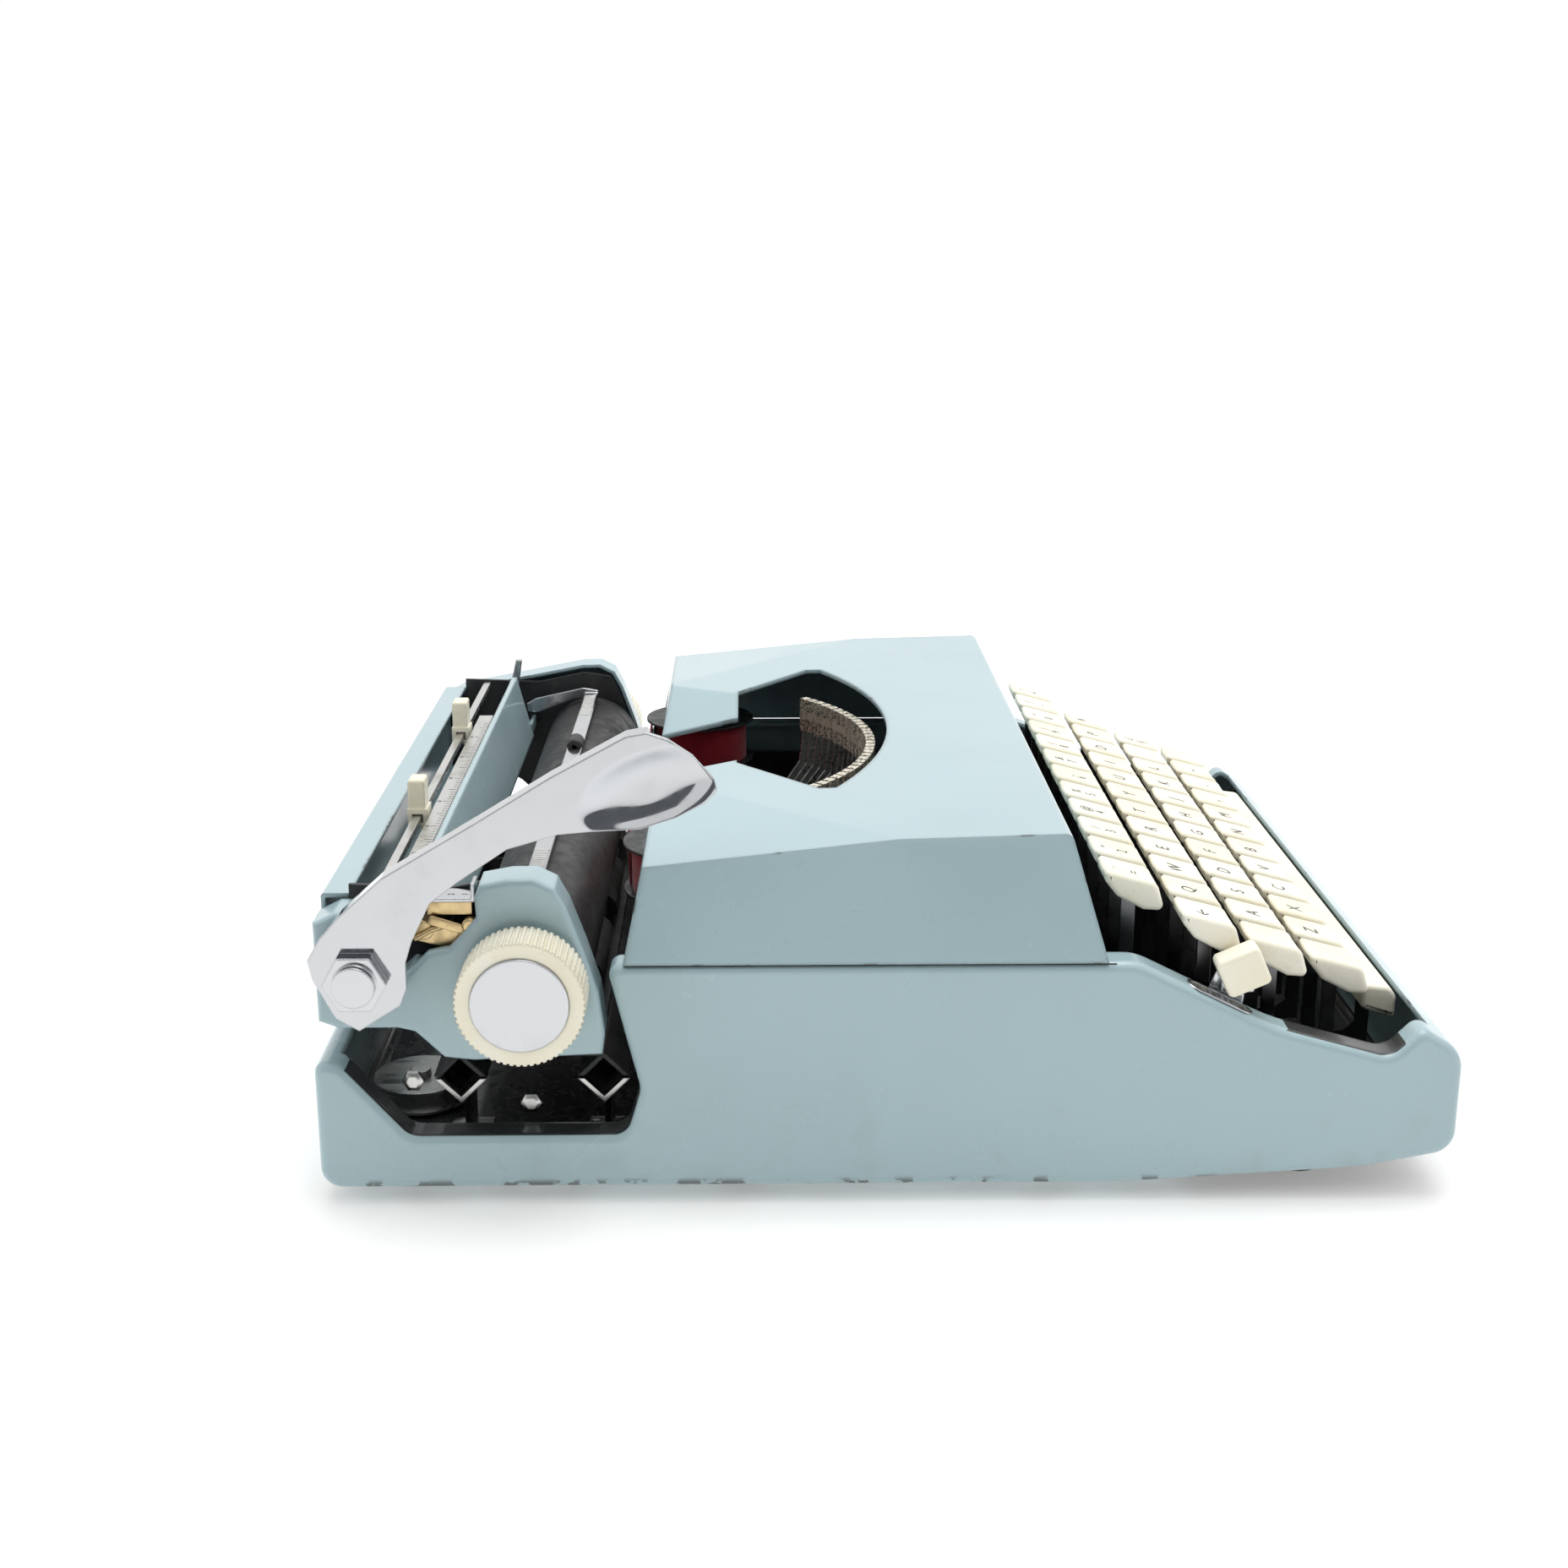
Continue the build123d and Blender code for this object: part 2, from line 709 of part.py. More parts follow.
ball_xs = [-66.0, -22.0, 22.0, 66.0]
ball_seat = channel / 2 - 0.02
with BuildPart() as rail_balls:
    with Locations(*[(x, y, rail_z) for x in ball_xs for y in rail_y]):
        Sphere(ball_seat - 0.3)
finish(rail_balls, "rail_balls")

with BuildPart() as bell:
    with BuildSketch(Plane.XZ):
        with BuildLine():
            Polyline((0, 16.6), (0, 18), (9, 16.5), (13.5, 11), (14, 9), (12.6, 9), (12, 11), (8, 15.2), close=True)
        make_face()
    revolve(axis=Axis.Z)
    base_at = (Align.CENTER, Align.CENTER, Align.MIN)
    with Locations((0, 0, floor_z)):
        Cylinder(2, 17.5 - floor_z, align=base_at)
bell.part.position = (78, 138, 0)
finish(bell, "bell")

drum_x, drum_y, drum_r = -78.0, 136.5, 14.0
with BuildPart() as mainspring_drum:
    base_at = (Align.CENTER, Align.CENTER, Align.MIN)
    with Locations((drum_x, drum_y, floor_z + 1)):
        Cylinder(drum_r, 1, align=base_at)
    with Locations((drum_x, drum_y, floor_z + 2)):
        Cylinder(drum_r - 1.2, 5, align=base_at)
    with Locations((drum_x, drum_y, floor_z + 7)):
        Cylinder(drum_r, 1, align=base_at)
    with Locations((drum_x, drum_y, floor_z)):
        Cylinder(3 + fit, 12, align=base_at, mode=Mode.SUBTRACT)
finish(mainspring_drum, "mainspring_drum")

with BuildPart() as drum_post:
    base_at = (Align.CENTER, Align.CENTER, Align.MIN)
    with Locations((drum_x, drum_y, floor_z)):
        Cylinder(3, 10, align=base_at)
        Cylinder(5, 0.6, align=base_at)
finish(drum_post, "drum_post")

# ==== carriage ============================================================
cover_front = [(78, 44), (77.2, 50), (78.6, 61.5), (82.3, 73.6), (86.5, 85.5), (89.6, 91.4)]
cover_top = [(95, 94.2), (101.7, 94)]
cover_rear = [(154, 82), (154, 54), (148.5, 52), (132.7, 52), (128.2, 50.9)]
cover_foot = [(120.6, 43.4), (112.7, 42.5)]
cutout = [(110.8, 89), (110.6, 83.3), (114.6, 78.5), (118, 75), (123.7, 73.8), (134, 64),
          (143, 70), (145, 85)]
stud_r = 4.0


def end_cover(name, side, gap_points):
    """A painted cap over one end of the carriage."""
    outline = cover_front + cover_top + [(109.5, 92.5)] + gap_points
    outline += [(148, 85)] + cover_rear + cover_foot
    x_in = plate_x + plate_t
    with BuildPart() as cover:
        x_plate(x_in, x_in + cover_depth, outline)
        fillet(cover.faces().sort_by(Axis.X)[-1].edges(), 1.5)
        with BuildSketch(side_plane(x_in)):
            with BuildLine():
                Polyline(*outline, close=True)
            make_face()
            offset(amount=-1.2, kind=Kind.INTERSECTION, mode=Mode.REPLACE)
        extrude(amount=cover_depth - 1.2, mode=Mode.SUBTRACT)
        x_rod(x_in, x_in + 20, platen_y, platen_z, core_r + 1.5, Mode.SUBTRACT)
        if gap_points:
            x_rod(x_in, x_in + 20, *lever_pivot, stud_r + 0.3, Mode.SUBTRACT)
            box((x_in, 105, 69), (x_in + cover_depth - 3, 130, 84.5), Mode.SUBTRACT)
        if side < 0:
            mirror(about=Plane.YZ, mode=Mode.REPLACE)
    finish(cover, name)


end_cover("left_end_cover", -1, cutout)
end_cover("right_end_cover", 1, [])

plate_outline = [(79.5, 41), (79, 50), (80.4, 61), (84, 73), (88, 84), (91, 90), (101, 91.5),
                 (118, 88), (146, 89), (146, 84), (151.5, 80), (151.5, 55), (134, 54), (122, 47),
                 (122, tray_z), (79.5, tray_z)]
bail_pivot = (120.0, 80.0)
bail_pin_r = 1.5
release_pivot = (130.0, 72.0)
with BuildPart() as carriage_frame:
    for x in (-plate_x - plate_t, plate_x):
        x_plate(x, x + plate_t, plate_outline)
        x_rod(x - 1, x + plate_t + 1, platen_y, platen_z, core_r + fit, Mode.SUBTRACT)
        x_rod(x - 1, x + plate_t + 1, *bail_pivot, bail_pin_r + fit, Mode.SUBTRACT)
        for dy in (-roller_dy, roller_dy):
            z = platen_z - sqrt((platen_r + roller_r + clear) ** 2 - roller_dy ** 2)
            x_rod(x - 1, x + plate_t + 1, platen_y + dy, z, 2 + fit, Mode.SUBTRACT)
    x_rod(plate_x - 1, plate_x + plate_t + 1, *release_pivot, bail_pin_r + fit, Mode.SUBTRACT)
    x_rod(-plate_x - plate_t - 1, -plate_x + 1, *lever_pivot, stud_r, Mode.SUBTRACT)
    box((-plate_x, 79.5, tray_z), (plate_x, 122, tray_z + 1.4))
    for y in rail_y:
        x_plate(-plate_x, plate_x, channel_profile(y, rail_z, -1))
        z_apex = rail_z + outer_diag
        if z_apex < tray_z:
            box((-plate_x, y - 0.8, z_apex - 1), (plate_x, y + 0.8, tray_z + 0.5))
finish(carriage_frame, "carriage_frame")

with BuildPart() as rear_cover:
    half = plate_x
    box((-half, 152.8, 54), (half, 154, 86))
    box((-half, 146.2, 84.8), (half, 154, 86))
    box((-half, 146.2, 54), (half, 154, 55.2))
    edges_long = rear_cover.edges().filter_by(Axis.X).filter_by(lambda e: e.center().Y > 153.9)
    fillet(edges_long.filter_by(lambda e: e.center().Z > 85.9), 1.0)
finish(rear_cover, "rear_cover")

table_half = 106.0
table_foot_y = platen_y + platen_r + 4.4
with BuildPart() as paper_table:
    with BuildSketch(side_plane(-table_half)):
        with BuildLine():
            Polyline((125.2, 92.6), (126.6, 92.6), (127.6, 91.2), (table_foot_y + 1.3, 70),
                     (table_foot_y, 70), close=True)
        make_face()
    extrude(amount=2 * table_half)
    for side in (-1, 1):
        low_x, high_x = sorted((side * (table_half - 2), side * plate_x))
        box((low_x, table_foot_y + 0.4, 71), (high_x, table_foot_y + 1.7, 75))
finish(paper_table, "paper_table")

with BuildPart() as margin_rail:
    box((-plate_x, margin_y - 1.2, margin_z - 1), (plate_x, margin_y + 1.2, margin_z + 1))
finish(margin_rail, "margin_rail")

rule_end = 66.0
with BuildPart() as margin_rule:
    box((-plate_x, 129.3, margin_z), (rule_end, 134.1, margin_z + 1.2))
finish(margin_rule, "margin_rule")

stop_x = {"left": -50.0, "right": 46.0}
for name, x in stop_x.items():
    with BuildPart() as stop:
        box((x - 4, margin_y - 3, margin_z - 3), (x + 4, margin_y + 3, margin_z + 3))
        box((x - 3.6, margin_y - 2.4, margin_z + 3), (x + 3.6, margin_y + 2.6, margin_z + 12))
        low = (x - 5, margin_y - 1.2 - clear, margin_z - 1 - clear)
        high = (x + 5, margin_y + 1.2 + clear, margin_z + 1 + clear)
        box(low, high, Mode.SUBTRACT)
        box((x - 5, margin_y - 0.8, margin_z - 4), (x + 5, margin_y + 0.8, margin_z), Mode.SUBTRACT)
        top = stop.faces().sort_by(Axis.Z)[-1]
        fillet(top.edges(), 1.0)
    finish(stop, f"margin_stop_{name}")

bail_half = 112.0
with BuildPart() as paper_bail:
    box((-bail_half, 95.4, 84.0), (bail_half, 100.4, 85.2))
    for side in (-1, 1):
        low_x, high_x = sorted((side * bail_half, side * (bail_half + 1.5)))
        x_plate(low_x, high_x, [(95.4, 84), (95.4, 86), (101, 87), (119, 83), (122.4, 81), (122, 78),
                                (118, 77.6), (104, 83)])
        low_x, high_x = sorted((side * (bail_half + 1.4), side * (plate_x + plate_t)))
        x_rod(low_x, high_x, *bail_pivot, bail_pin_r)
finish(paper_bail, "paper_bail")

with BuildPart() as platen_roller:
    x_rod(-platen_half, platen_half, platen_y, platen_z, platen_r)
    x_rod(-platen_half, platen_half, platen_y, platen_z, core_r, Mode.SUBTRACT)
finish(platen_roller, "platen_roller")

ratchet_x = plate_x + plate_t + 3
ratchet_r = 12.0
ratchet_teeth = 30
shaft_end = knob_x + knob_len - 2
with BuildPart() as platen_shaft:
    x_rod(-shaft_end, shaft_end, platen_y, platen_z, core_r)
    with BuildSketch(side_plane(-ratchet_x - 3)):
        with Locations((platen_y, platen_z)):
            Circle(ratchet_r)
            with PolarLocations(ratchet_r, ratchet_teeth):
                RegularPolygon(1.1, 3, mode=Mode.SUBTRACT)
    extrude(amount=3)
finish(platen_shaft, "platen_shaft")

for name, side in (("left", -1), ("right", 1)):
    with BuildPart() as knob:
        with BuildSketch(side_plane(knob_x)):
            with Locations((platen_y, platen_z)):
                Circle(knob_r)
                with PolarLocations(knob_r, 60):
                    Rectangle(0.8, 0.8, mode=Mode.SUBTRACT)
        extrude(amount=knob_len)
        x_rod(knob_x + knob_len - 3, knob_x + knob_len + 1, platen_y, platen_z, cap_r + fit, Mode.SUBTRACT)
        x_rod(knob_x - 1, knob_x + knob_len, platen_y, platen_z, core_r, Mode.SUBTRACT)
        if side < 0:
            mirror(about=Plane.YZ, mode=Mode.REPLACE)
    finish(knob, f"{name}_platen_knob")

with BuildPart() as knob_caps:
    for side in (-1, 1):
        low_x, high_x = sorted((side * shaft_end, side * (knob_x + knob_len + 0.6)))
        if side < 0:
            low_x, high_x = -(knob_x + knob_len + 0.6), -(knob_x + knob_len - 2)
        else:
            low_x, high_x = knob_x + knob_len - 2, knob_x + knob_len + 0.6
        x_rod(low_x, high_x, platen_y, platen_z, cap_r)
finish(knob_caps, "knob_caps")

roller_z = platen_z - sqrt((platen_r + roller_r + clear) ** 2 - roller_dy ** 2)
for name, dy in (("front", -roller_dy), ("rear", roller_dy)):
    with BuildPart() as feed:
        x_rod(-plate_x - plate_t, plate_x + plate_t, platen_y + dy, roller_z, 2)
        for x in (-80, -20, 40):
            x_rod(x, x + 40, platen_y + dy, roller_z, roller_r)
    finish(feed, f"feed_rollers_{name}")

lever_t_out = 1.6
lever_outline = [
    (141, 55.6), (147, 59.2), (152.5, 70), (153.6, 75.5), (150, 81.5), (144.8, 87.5),
    (133.3, 97.9), (108.8, 112.6), (88.9, 124.9), (69.4, 135.6), (64, 136.6), (58.7, 134.8),
    (52.3, 130.4), (47, 124.3), (46.2, 121), (49.2, 118), (56.8, 114), (66, 111),
    (78.6, 110.4), (87.2, 109.6), (100.4, 105.7), (113.8, 96.6), (121, 90.9), (126.1, 80.4),
    (128, 74.6), (128.1, 67.5), (130, 62.7),
]
flange_line = [(150, 81.5), (144.8, 87.5), (133.3, 97.9), (108.8, 112.6), (88.9, 124.9),
               (69.4, 135.6), (64, 136.6)]
with BuildPart() as return_lever:
    x_plate(lever_x - lever_t_out, lever_x, lever_outline)
    inner = [(y - 0.9, z - 1.3) for y, z in reversed(flange_line)]
    x_plate(lever_x - 0.2, lever_x + 5, flange_line + inner)
    x_rod(lever_x - 5, lever_x + 5, *lever_pivot, stud_r + fit, Mode.SUBTRACT)
finish(return_lever, "return_lever")

cover_x = plate_x + plate_t + cover_depth
with BuildPart() as lever_stud:
    x_rod(lever_x - lever_t_out - 5, -plate_x, *lever_pivot, stud_r)
    x_rod(lever_x + 0.3, -cover_x, *lever_pivot, stud_r + 3)
    with BuildSketch(side_plane(lever_x - lever_t_out - 0.3)):
        with Locations(lever_pivot):
            RegularPolygon(8.5, 6)
    extrude(amount=-3.5)
    x_rod(lever_x - lever_t_out - 6, lever_x - lever_t_out - 3.5, *lever_pivot, 5.6)
finish(lever_stud, "lever_stud")

with BuildPart() as line_space_mechanism:
    x_plate(-ratchet_x - 4.6, -ratchet_x - 3.4, [(106, 70), (106, 76), (128, 82), (128, 76)])
    x_plate(-plate_x - plate_t - 7.6, -plate_x - plate_t, [(112, 83), (112, 86.6), (124, 86.6), (124, 83)])
    x_rod(-ratchet_x - 4.8, -plate_x - plate_t, 125, 78.5, 2.4)
finish(line_space_mechanism, "line_space_mechanism")

with BuildPart() as line_space_selector:
    box((-plate_x - plate_t - 9, 111, 87), (-plate_x - plate_t - 0.4, 124, 88))
    box((-plate_x - plate_t - 9, 111, 88), (-plate_x - plate_t - 2, 112, 92))
finish(line_space_selector, "line_space_selector")

with BuildPart() as paper_release_lever:
    x_plate(115.4, 117.4, [(128, 70), (132, 71), (131.5, 76), (126.5, 97), (124, 97), (127.5, 76)])
    x_rod(117.3, plate_x + plate_t, *release_pivot, bail_pin_r)
finish(paper_release_lever, "paper_release_lever")
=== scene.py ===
"""Looks of the slim portable typewriter: camera, light, materials and the detailed pieces."""
import json
import math

import bmesh
import bpy
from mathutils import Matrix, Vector


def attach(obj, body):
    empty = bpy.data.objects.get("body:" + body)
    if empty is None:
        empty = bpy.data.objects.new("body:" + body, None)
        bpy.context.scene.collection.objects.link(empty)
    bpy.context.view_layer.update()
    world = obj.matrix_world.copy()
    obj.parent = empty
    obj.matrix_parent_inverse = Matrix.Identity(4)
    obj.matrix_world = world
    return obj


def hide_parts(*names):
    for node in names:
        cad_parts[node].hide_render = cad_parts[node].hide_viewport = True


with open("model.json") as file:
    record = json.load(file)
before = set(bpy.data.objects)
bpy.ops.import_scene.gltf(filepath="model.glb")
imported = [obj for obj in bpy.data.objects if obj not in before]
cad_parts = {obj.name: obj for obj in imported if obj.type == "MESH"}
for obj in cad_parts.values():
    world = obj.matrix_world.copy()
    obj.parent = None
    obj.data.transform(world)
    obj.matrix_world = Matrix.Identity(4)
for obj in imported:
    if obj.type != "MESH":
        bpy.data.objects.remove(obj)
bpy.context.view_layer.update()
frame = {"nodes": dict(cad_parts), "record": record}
NODES = frame["nodes"]
MM = 0.001


# ---- camera, light and backdrop -------------------------------------------
def add_camera():
    cam = bpy.data.cameras.new("camera")
    cam.lens, cam.sensor_width = 47.5, 36.0
    obj = bpy.data.objects.new("camera", cam)
    bpy.context.scene.collection.objects.link(obj)
    obj.location = (-0.6484, 0.0368, 0.2710)
    tilt, turn = math.radians(16.28), math.radians(0.87)
    ahead = Vector((math.cos(tilt) * math.cos(turn), -math.cos(tilt) * math.sin(turn), -math.sin(tilt)))
    obj.rotation_mode = "QUATERNION"
    obj.rotation_quaternion = ahead.to_track_quat("-Z", "Y")
    cam.clip_start, cam.clip_end = 0.01, 50
    bpy.context.scene.camera = obj


def add_light(name, place, target, size, power):
    light = bpy.data.lights.new(name, "AREA")
    light.shape, light.size, light.size_y = "RECTANGLE", size[0], size[1]
    light.energy = power
    obj = bpy.data.objects.new(name, light)
    bpy.context.scene.collection.objects.link(obj)
    obj.location = place
    obj.rotation_mode = "QUATERNION"
    obj.rotation_quaternion = (Vector(target) - Vector(place)).to_track_quat("-Z", "Y")


# ---- node helpers ----------------------------------------------------------
class Look:
    """A procedural material and short ways to add nodes to it."""

    def __init__(self, name):
        self.mat = bpy.data.materials.new(name)
        self.mat.use_nodes = True
        self.tree = self.mat.node_tree
        self.tree.nodes.clear()
        self.out = self.add("ShaderNodeOutputMaterial")
        self.bsdf = self.add("ShaderNodeBsdfPrincipled")
        self.join(self.bsdf, "BSDF", self.out, "Surface")
        self.coord = self.add("ShaderNodeTexCoord")

    def add(self, kind, **values):
        node = self.tree.nodes.new(kind)
        for key, value in values.items():
            setattr(node, key, value)
        return node

    def join(self, a, out, b, into):
        self.tree.links.new(a.outputs[out], b.inputs[into])

    def put(self, value, socket):
        if isinstance(value, bpy.types.NodeSocket):
            self.tree.links.new(value, socket)
        else:
            socket.default_value = value

    def math(self, operation, a, b=0.0):
        node = self.add("ShaderNodeMath", operation=operation)
        for socket, value in zip(node.inputs, (a, b)):
            self.put(value, socket)
        return node.outputs[0]

    def mix(self, amount, a, b):
        node = self.add("ShaderNodeMix", data_type="RGBA")
        self.put(amount, node.inputs[0])
        self.put(a if isinstance(a, bpy.types.NodeSocket) else (*a, 1), node.inputs[6])
        self.put(b if isinstance(b, bpy.types.NodeSocket) else (*b, 1), node.inputs[7])
        return node.outputs[2]

    def blend(self, amount, a, b):
        return self.math("ADD", self.math("MULTIPLY", amount, self.math("SUBTRACT", b, a)), a)

    def noise(self, scale, detail=4.0, stretch=(1, 1, 1)):
        place = self.add("ShaderNodeMapping")
        place.inputs["Scale"].default_value = stretch
        self.join(self.coord, "Object", place, "Vector")
        node = self.add("ShaderNodeTexNoise")
        node.inputs["Scale"].default_value = scale
        node.inputs["Detail"].default_value = detail
        node.inputs["Roughness"].default_value = 0.55
        self.join(place, "Vector", node, "Vector")
        return node.outputs["Fac"]

    def ramp(self, value, low, high, out_low=0.0, out_high=1.0):
        node = self.add("ShaderNodeMapRange", interpolation_type="SMOOTHSTEP")
        for index, item in enumerate((value, low, high, out_low, out_high)):
            self.put(item, node.inputs[index])
        return node.outputs[0]

    def axis(self, letter):
        node = self.add("ShaderNodeSeparateXYZ")
        self.join(self.coord, "Object", node, "Vector")
        return node.outputs[letter]

    def edges(self, radius):
        """1 near sharp edges, 0 on flats, from how far rounding turns the normal."""
        bevel = self.add("ShaderNodeBevel", samples=4)
        bevel.inputs["Radius"].default_value = radius
        shape = self.add("ShaderNodeNewGeometry")
        dot = self.add("ShaderNodeVectorMath", operation="DOT_PRODUCT")
        self.join(bevel, "Normal", dot, 0)
        self.join(shape, "Normal", dot, 1)
        turned = self.math("SUBTRACT", 1.0, dot.outputs["Value"])
        return self.ramp(turned, 0.02, 0.12)

    def bump(self, height, strength, distance, rounding=0.0):
        node = self.add("ShaderNodeBump")
        node.inputs["Strength"].default_value = strength
        node.inputs["Distance"].default_value = distance
        self.put(height, node.inputs["Height"])
        if rounding:
            bevel = self.add("ShaderNodeBevel", samples=6)
            bevel.inputs["Radius"].default_value = rounding
            self.join(bevel, "Normal", node, "Normal")
        self.join(node, "Normal", self.bsdf, "Normal")

    def set(self, **values):
        names = {"color": "Base Color", "rough": "Roughness", "metal": "Metallic", "coat": "Coat Weight",
                 "coat_rough": "Coat Roughness", "spec": "Specular IOR Level", "sheen": "Sheen Weight",
                 "sub": "Subsurface Weight"}
        for key, value in values.items():
            if key == "color" and not isinstance(value, bpy.types.NodeSocket):
                value = (*value, 1)
            self.put(value, self.bsdf.inputs[names[key]])
        return self


def inside_mask(look, half_x, low_y, high_y, low_z, high_z):
    """1 inside a box of the row frame."""
    x = look.math("ABSOLUTE", look.axis("X"))
    tests = [look.math("LESS_THAN", x, half_x), look.math("GREATER_THAN", look.axis("Y"), low_y),
             look.math("LESS_THAN", look.axis("Y"), high_y), look.math("GREATER_THAN", look.axis("Z"), low_z),
             look.math("LESS_THAN", look.axis("Z"), high_z)]
    mask = tests[0]
    for test in tests[1:]:
        mask = look.math("MULTIPLY", mask, test)
    return mask


def enamel(name, tone, paint_inside_shade=True, rounding=0.002):
    """Pale blue-grey stoved enamel: orange peel, grime low down, chips that show dark primer at the edges,
    and, when asked, near-black painted shade over the inside of the case.
    """
    look = Look(name)
    base = look.mix(look.ramp(look.noise(9, 3), 0.3, 0.7), tone, [c * 0.93 for c in tone])
    grime = look.math("MULTIPLY", look.ramp(look.noise(60, 6), 0.5, 0.8),
                      look.ramp(look.axis("Z"), 0.04, 0.004, 0.0, 0.22))
    base = look.mix(grime, base, (0.20, 0.19, 0.16))
    specks = look.ramp(look.noise(1400, 2), 0.74, 0.78)
    base = look.mix(look.math("MULTIPLY", specks, 0.2), base, (0.25, 0.25, 0.22))
    worn = look.math("MULTIPLY", look.edges(0.0012), look.ramp(look.noise(85, 5), 0.60, 0.66))
    low = look.ramp(look.axis("Z"), 0.0085, 0.0062)
    near_foot = look.math("MULTIPLY", low, look.ramp(look.noise(130, 6), 0.52, 0.56))
    chips = look.math("MAXIMUM", worn, look.math("MULTIPLY", near_foot, 0.8))
    base = look.mix(chips, base, (0.07, 0.065, 0.06))
    # painted shade: the case's inside surfaces under the keys are turned near black where shade falls
    if paint_inside_shade:
        inside_shade_mask = look.math("MAXIMUM", inside_mask(look, 0.1316, -0.1535, 0.1543, 0.0062, 0.0400),
                           inside_mask(look, 0.1316, -0.140, 0.060, 0.0400, 0.0500))
        base = look.mix(inside_shade_mask, base, (0.035, 0.038, 0.04))
    rough = look.ramp(look.noise(30, 4), 0.3, 0.8, 0.20, 0.34)
    look.set(color=base, rough=look.blend(chips, rough, 0.8), coat=0.35, coat_rough=0.12, spec=0.5)
    peel = look.math("ADD", look.noise(520, 2), look.math("MULTIPLY", chips, -3.0))
    look.bump(peel, 0.12, 0.00012, rounding)
    return look.mat


def plastic(name, tone, rounding=0.0):
    """Cream moulded plastic: faint mottling, handling dirt and fine scratches."""
    look = Look(name)
    aged = [tone[0] * 0.95, tone[1] * 0.92, tone[2] * 0.84]
    base = look.mix(look.ramp(look.noise(45, 3), 0.35, 0.7), tone, aged)
    dirt = look.ramp(look.noise(260, 6), 0.6, 0.85, 0.0, 0.2)
    base = look.mix(dirt, base, (0.34, 0.27, 0.17))
    look.set(color=base, rough=look.ramp(look.noise(150, 5), 0.3, 0.75, 0.24, 0.45), spec=0.5, sub=0.05)
    look.bsdf.inputs["Subsurface Radius"].default_value = (0.004, 0.003, 0.002)
    look.bsdf.inputs["Subsurface Scale"].default_value = 0.4
    scratch = look.math("ADD", look.noise(900, 3), look.noise(60, 8, (30, 1, 1)))
    look.bump(scratch, 0.08, 0.0001, rounding)
    return look.mat


def metal(name, tone, rough_low, rough_high, grain, stain, stains, rounding=0.0005):
    """Plated or bare metal: brushed grain, smudges and dull stains."""
    look = Look(name)
    blot = look.ramp(look.noise(70, 6), 0.52, 0.78, 0.0, stains)
    base = look.mix(blot, tone, stain)
    rough = look.ramp(look.noise(300, 5, grain), 0.3, 0.75, rough_low, rough_high)
    look.set(color=base, metal=look.blend(blot, 1.0, 0.75), rough=look.blend(blot, rough, 0.55), spec=0.5)
    look.bump(look.noise(700, 4, grain), 0.10, 0.00008, rounding)
    return look.mat


def dished_chrome():
    """The return lever's chrome, with the hollow that the hand presses near its end."""
    look = Look("return_lever_chrome")
    y = look.math("SUBTRACT", look.axis("Y"), 0.0635)
    z = look.math("SUBTRACT", look.axis("Z"), 0.1215)
    along = look.math("SUBTRACT", look.math("MULTIPLY", y, 0.92), look.math("MULTIPLY", z, 0.38))
    across = look.math("ADD", look.math("MULTIPLY", y, 0.38), look.math("MULTIPLY", z, 0.92))
    reach = look.math("ADD", look.math("POWER", look.math("DIVIDE", along, 0.020), 2.0),
                      look.math("POWER", look.math("DIVIDE", across, 0.0105), 2.0))
    hollow = look.ramp(reach, 1.0, 0.0, 0.0, -0.0035)
    smudge = look.ramp(look.noise(60, 6), 0.5, 0.8, 0.0, 0.25)
    look.set(color=look.mix(smudge, (0.54, 0.55, 0.57), (0.38, 0.37, 0.36)), metal=1.0,
             rough=look.ramp(look.noise(240, 5), 0.35, 0.8, 0.07, 0.2))
    shape = look.math("ADD", hollow, look.math("MULTIPLY", look.noise(35, 2), 0.00025))
    look.bump(shape, 1.0, 1.0, 0.0008)
    return look.mat


def slug_steel():
    """Type bars: bright steel that turns to warm worn plating at the slugs."""
    look = Look("type_bar_steel")
    tip = look.ramp(look.axis("Z"), 0.0853, 0.0857)
    base = look.mix(tip, (0.60, 0.60, 0.59), (0.86, 0.80, 0.66))
    middle = look.math("ABSOLUTE", look.math("SUBTRACT", look.axis("Z"), 0.09125))
    cut = look.math("MULTIPLY", look.ramp(look.noise(1500, 2), 0.53, 0.56),
                    look.math("MULTIPLY", tip, look.ramp(middle, 0.0011, 0.0016)))
    base = look.mix(look.math("MULTIPLY", cut, 0.85), base, (0.05, 0.045, 0.04))
    look.set(color=base, metal=look.ramp(tip, 0, 1, 1.0, 0.75),
             rough=look.ramp(look.noise(400, 4), 0.3, 0.7, 0.22, 0.42))
    look.bump(look.noise(1500, 3), 0.3, 0.0001, 0.0002)
    return look.mat


def rubber(name, tone, rough=0.62, dust=0.3):
    """Hard old rubber with a dusty bloom and fine lengthwise wear."""
    look = Look(name)
    bloom = look.ramp(look.noise(55, 6, (0.25, 1, 1)), 0.42, 0.75, 0.0, dust)
    look.set(color=look.mix(bloom, tone, (0.16, 0.155, 0.145)), spec=0.35,
             rough=look.ramp(look.noise(180, 5), 0.3, 0.7, rough - 0.16, rough + 0.1))
    look.bump(look.noise(1100, 4, (0.4, 1, 1)), 0.25, 0.0001, 0.0006)
    return look.mat


THREADS = 9000.0  # radians of weave to the metre


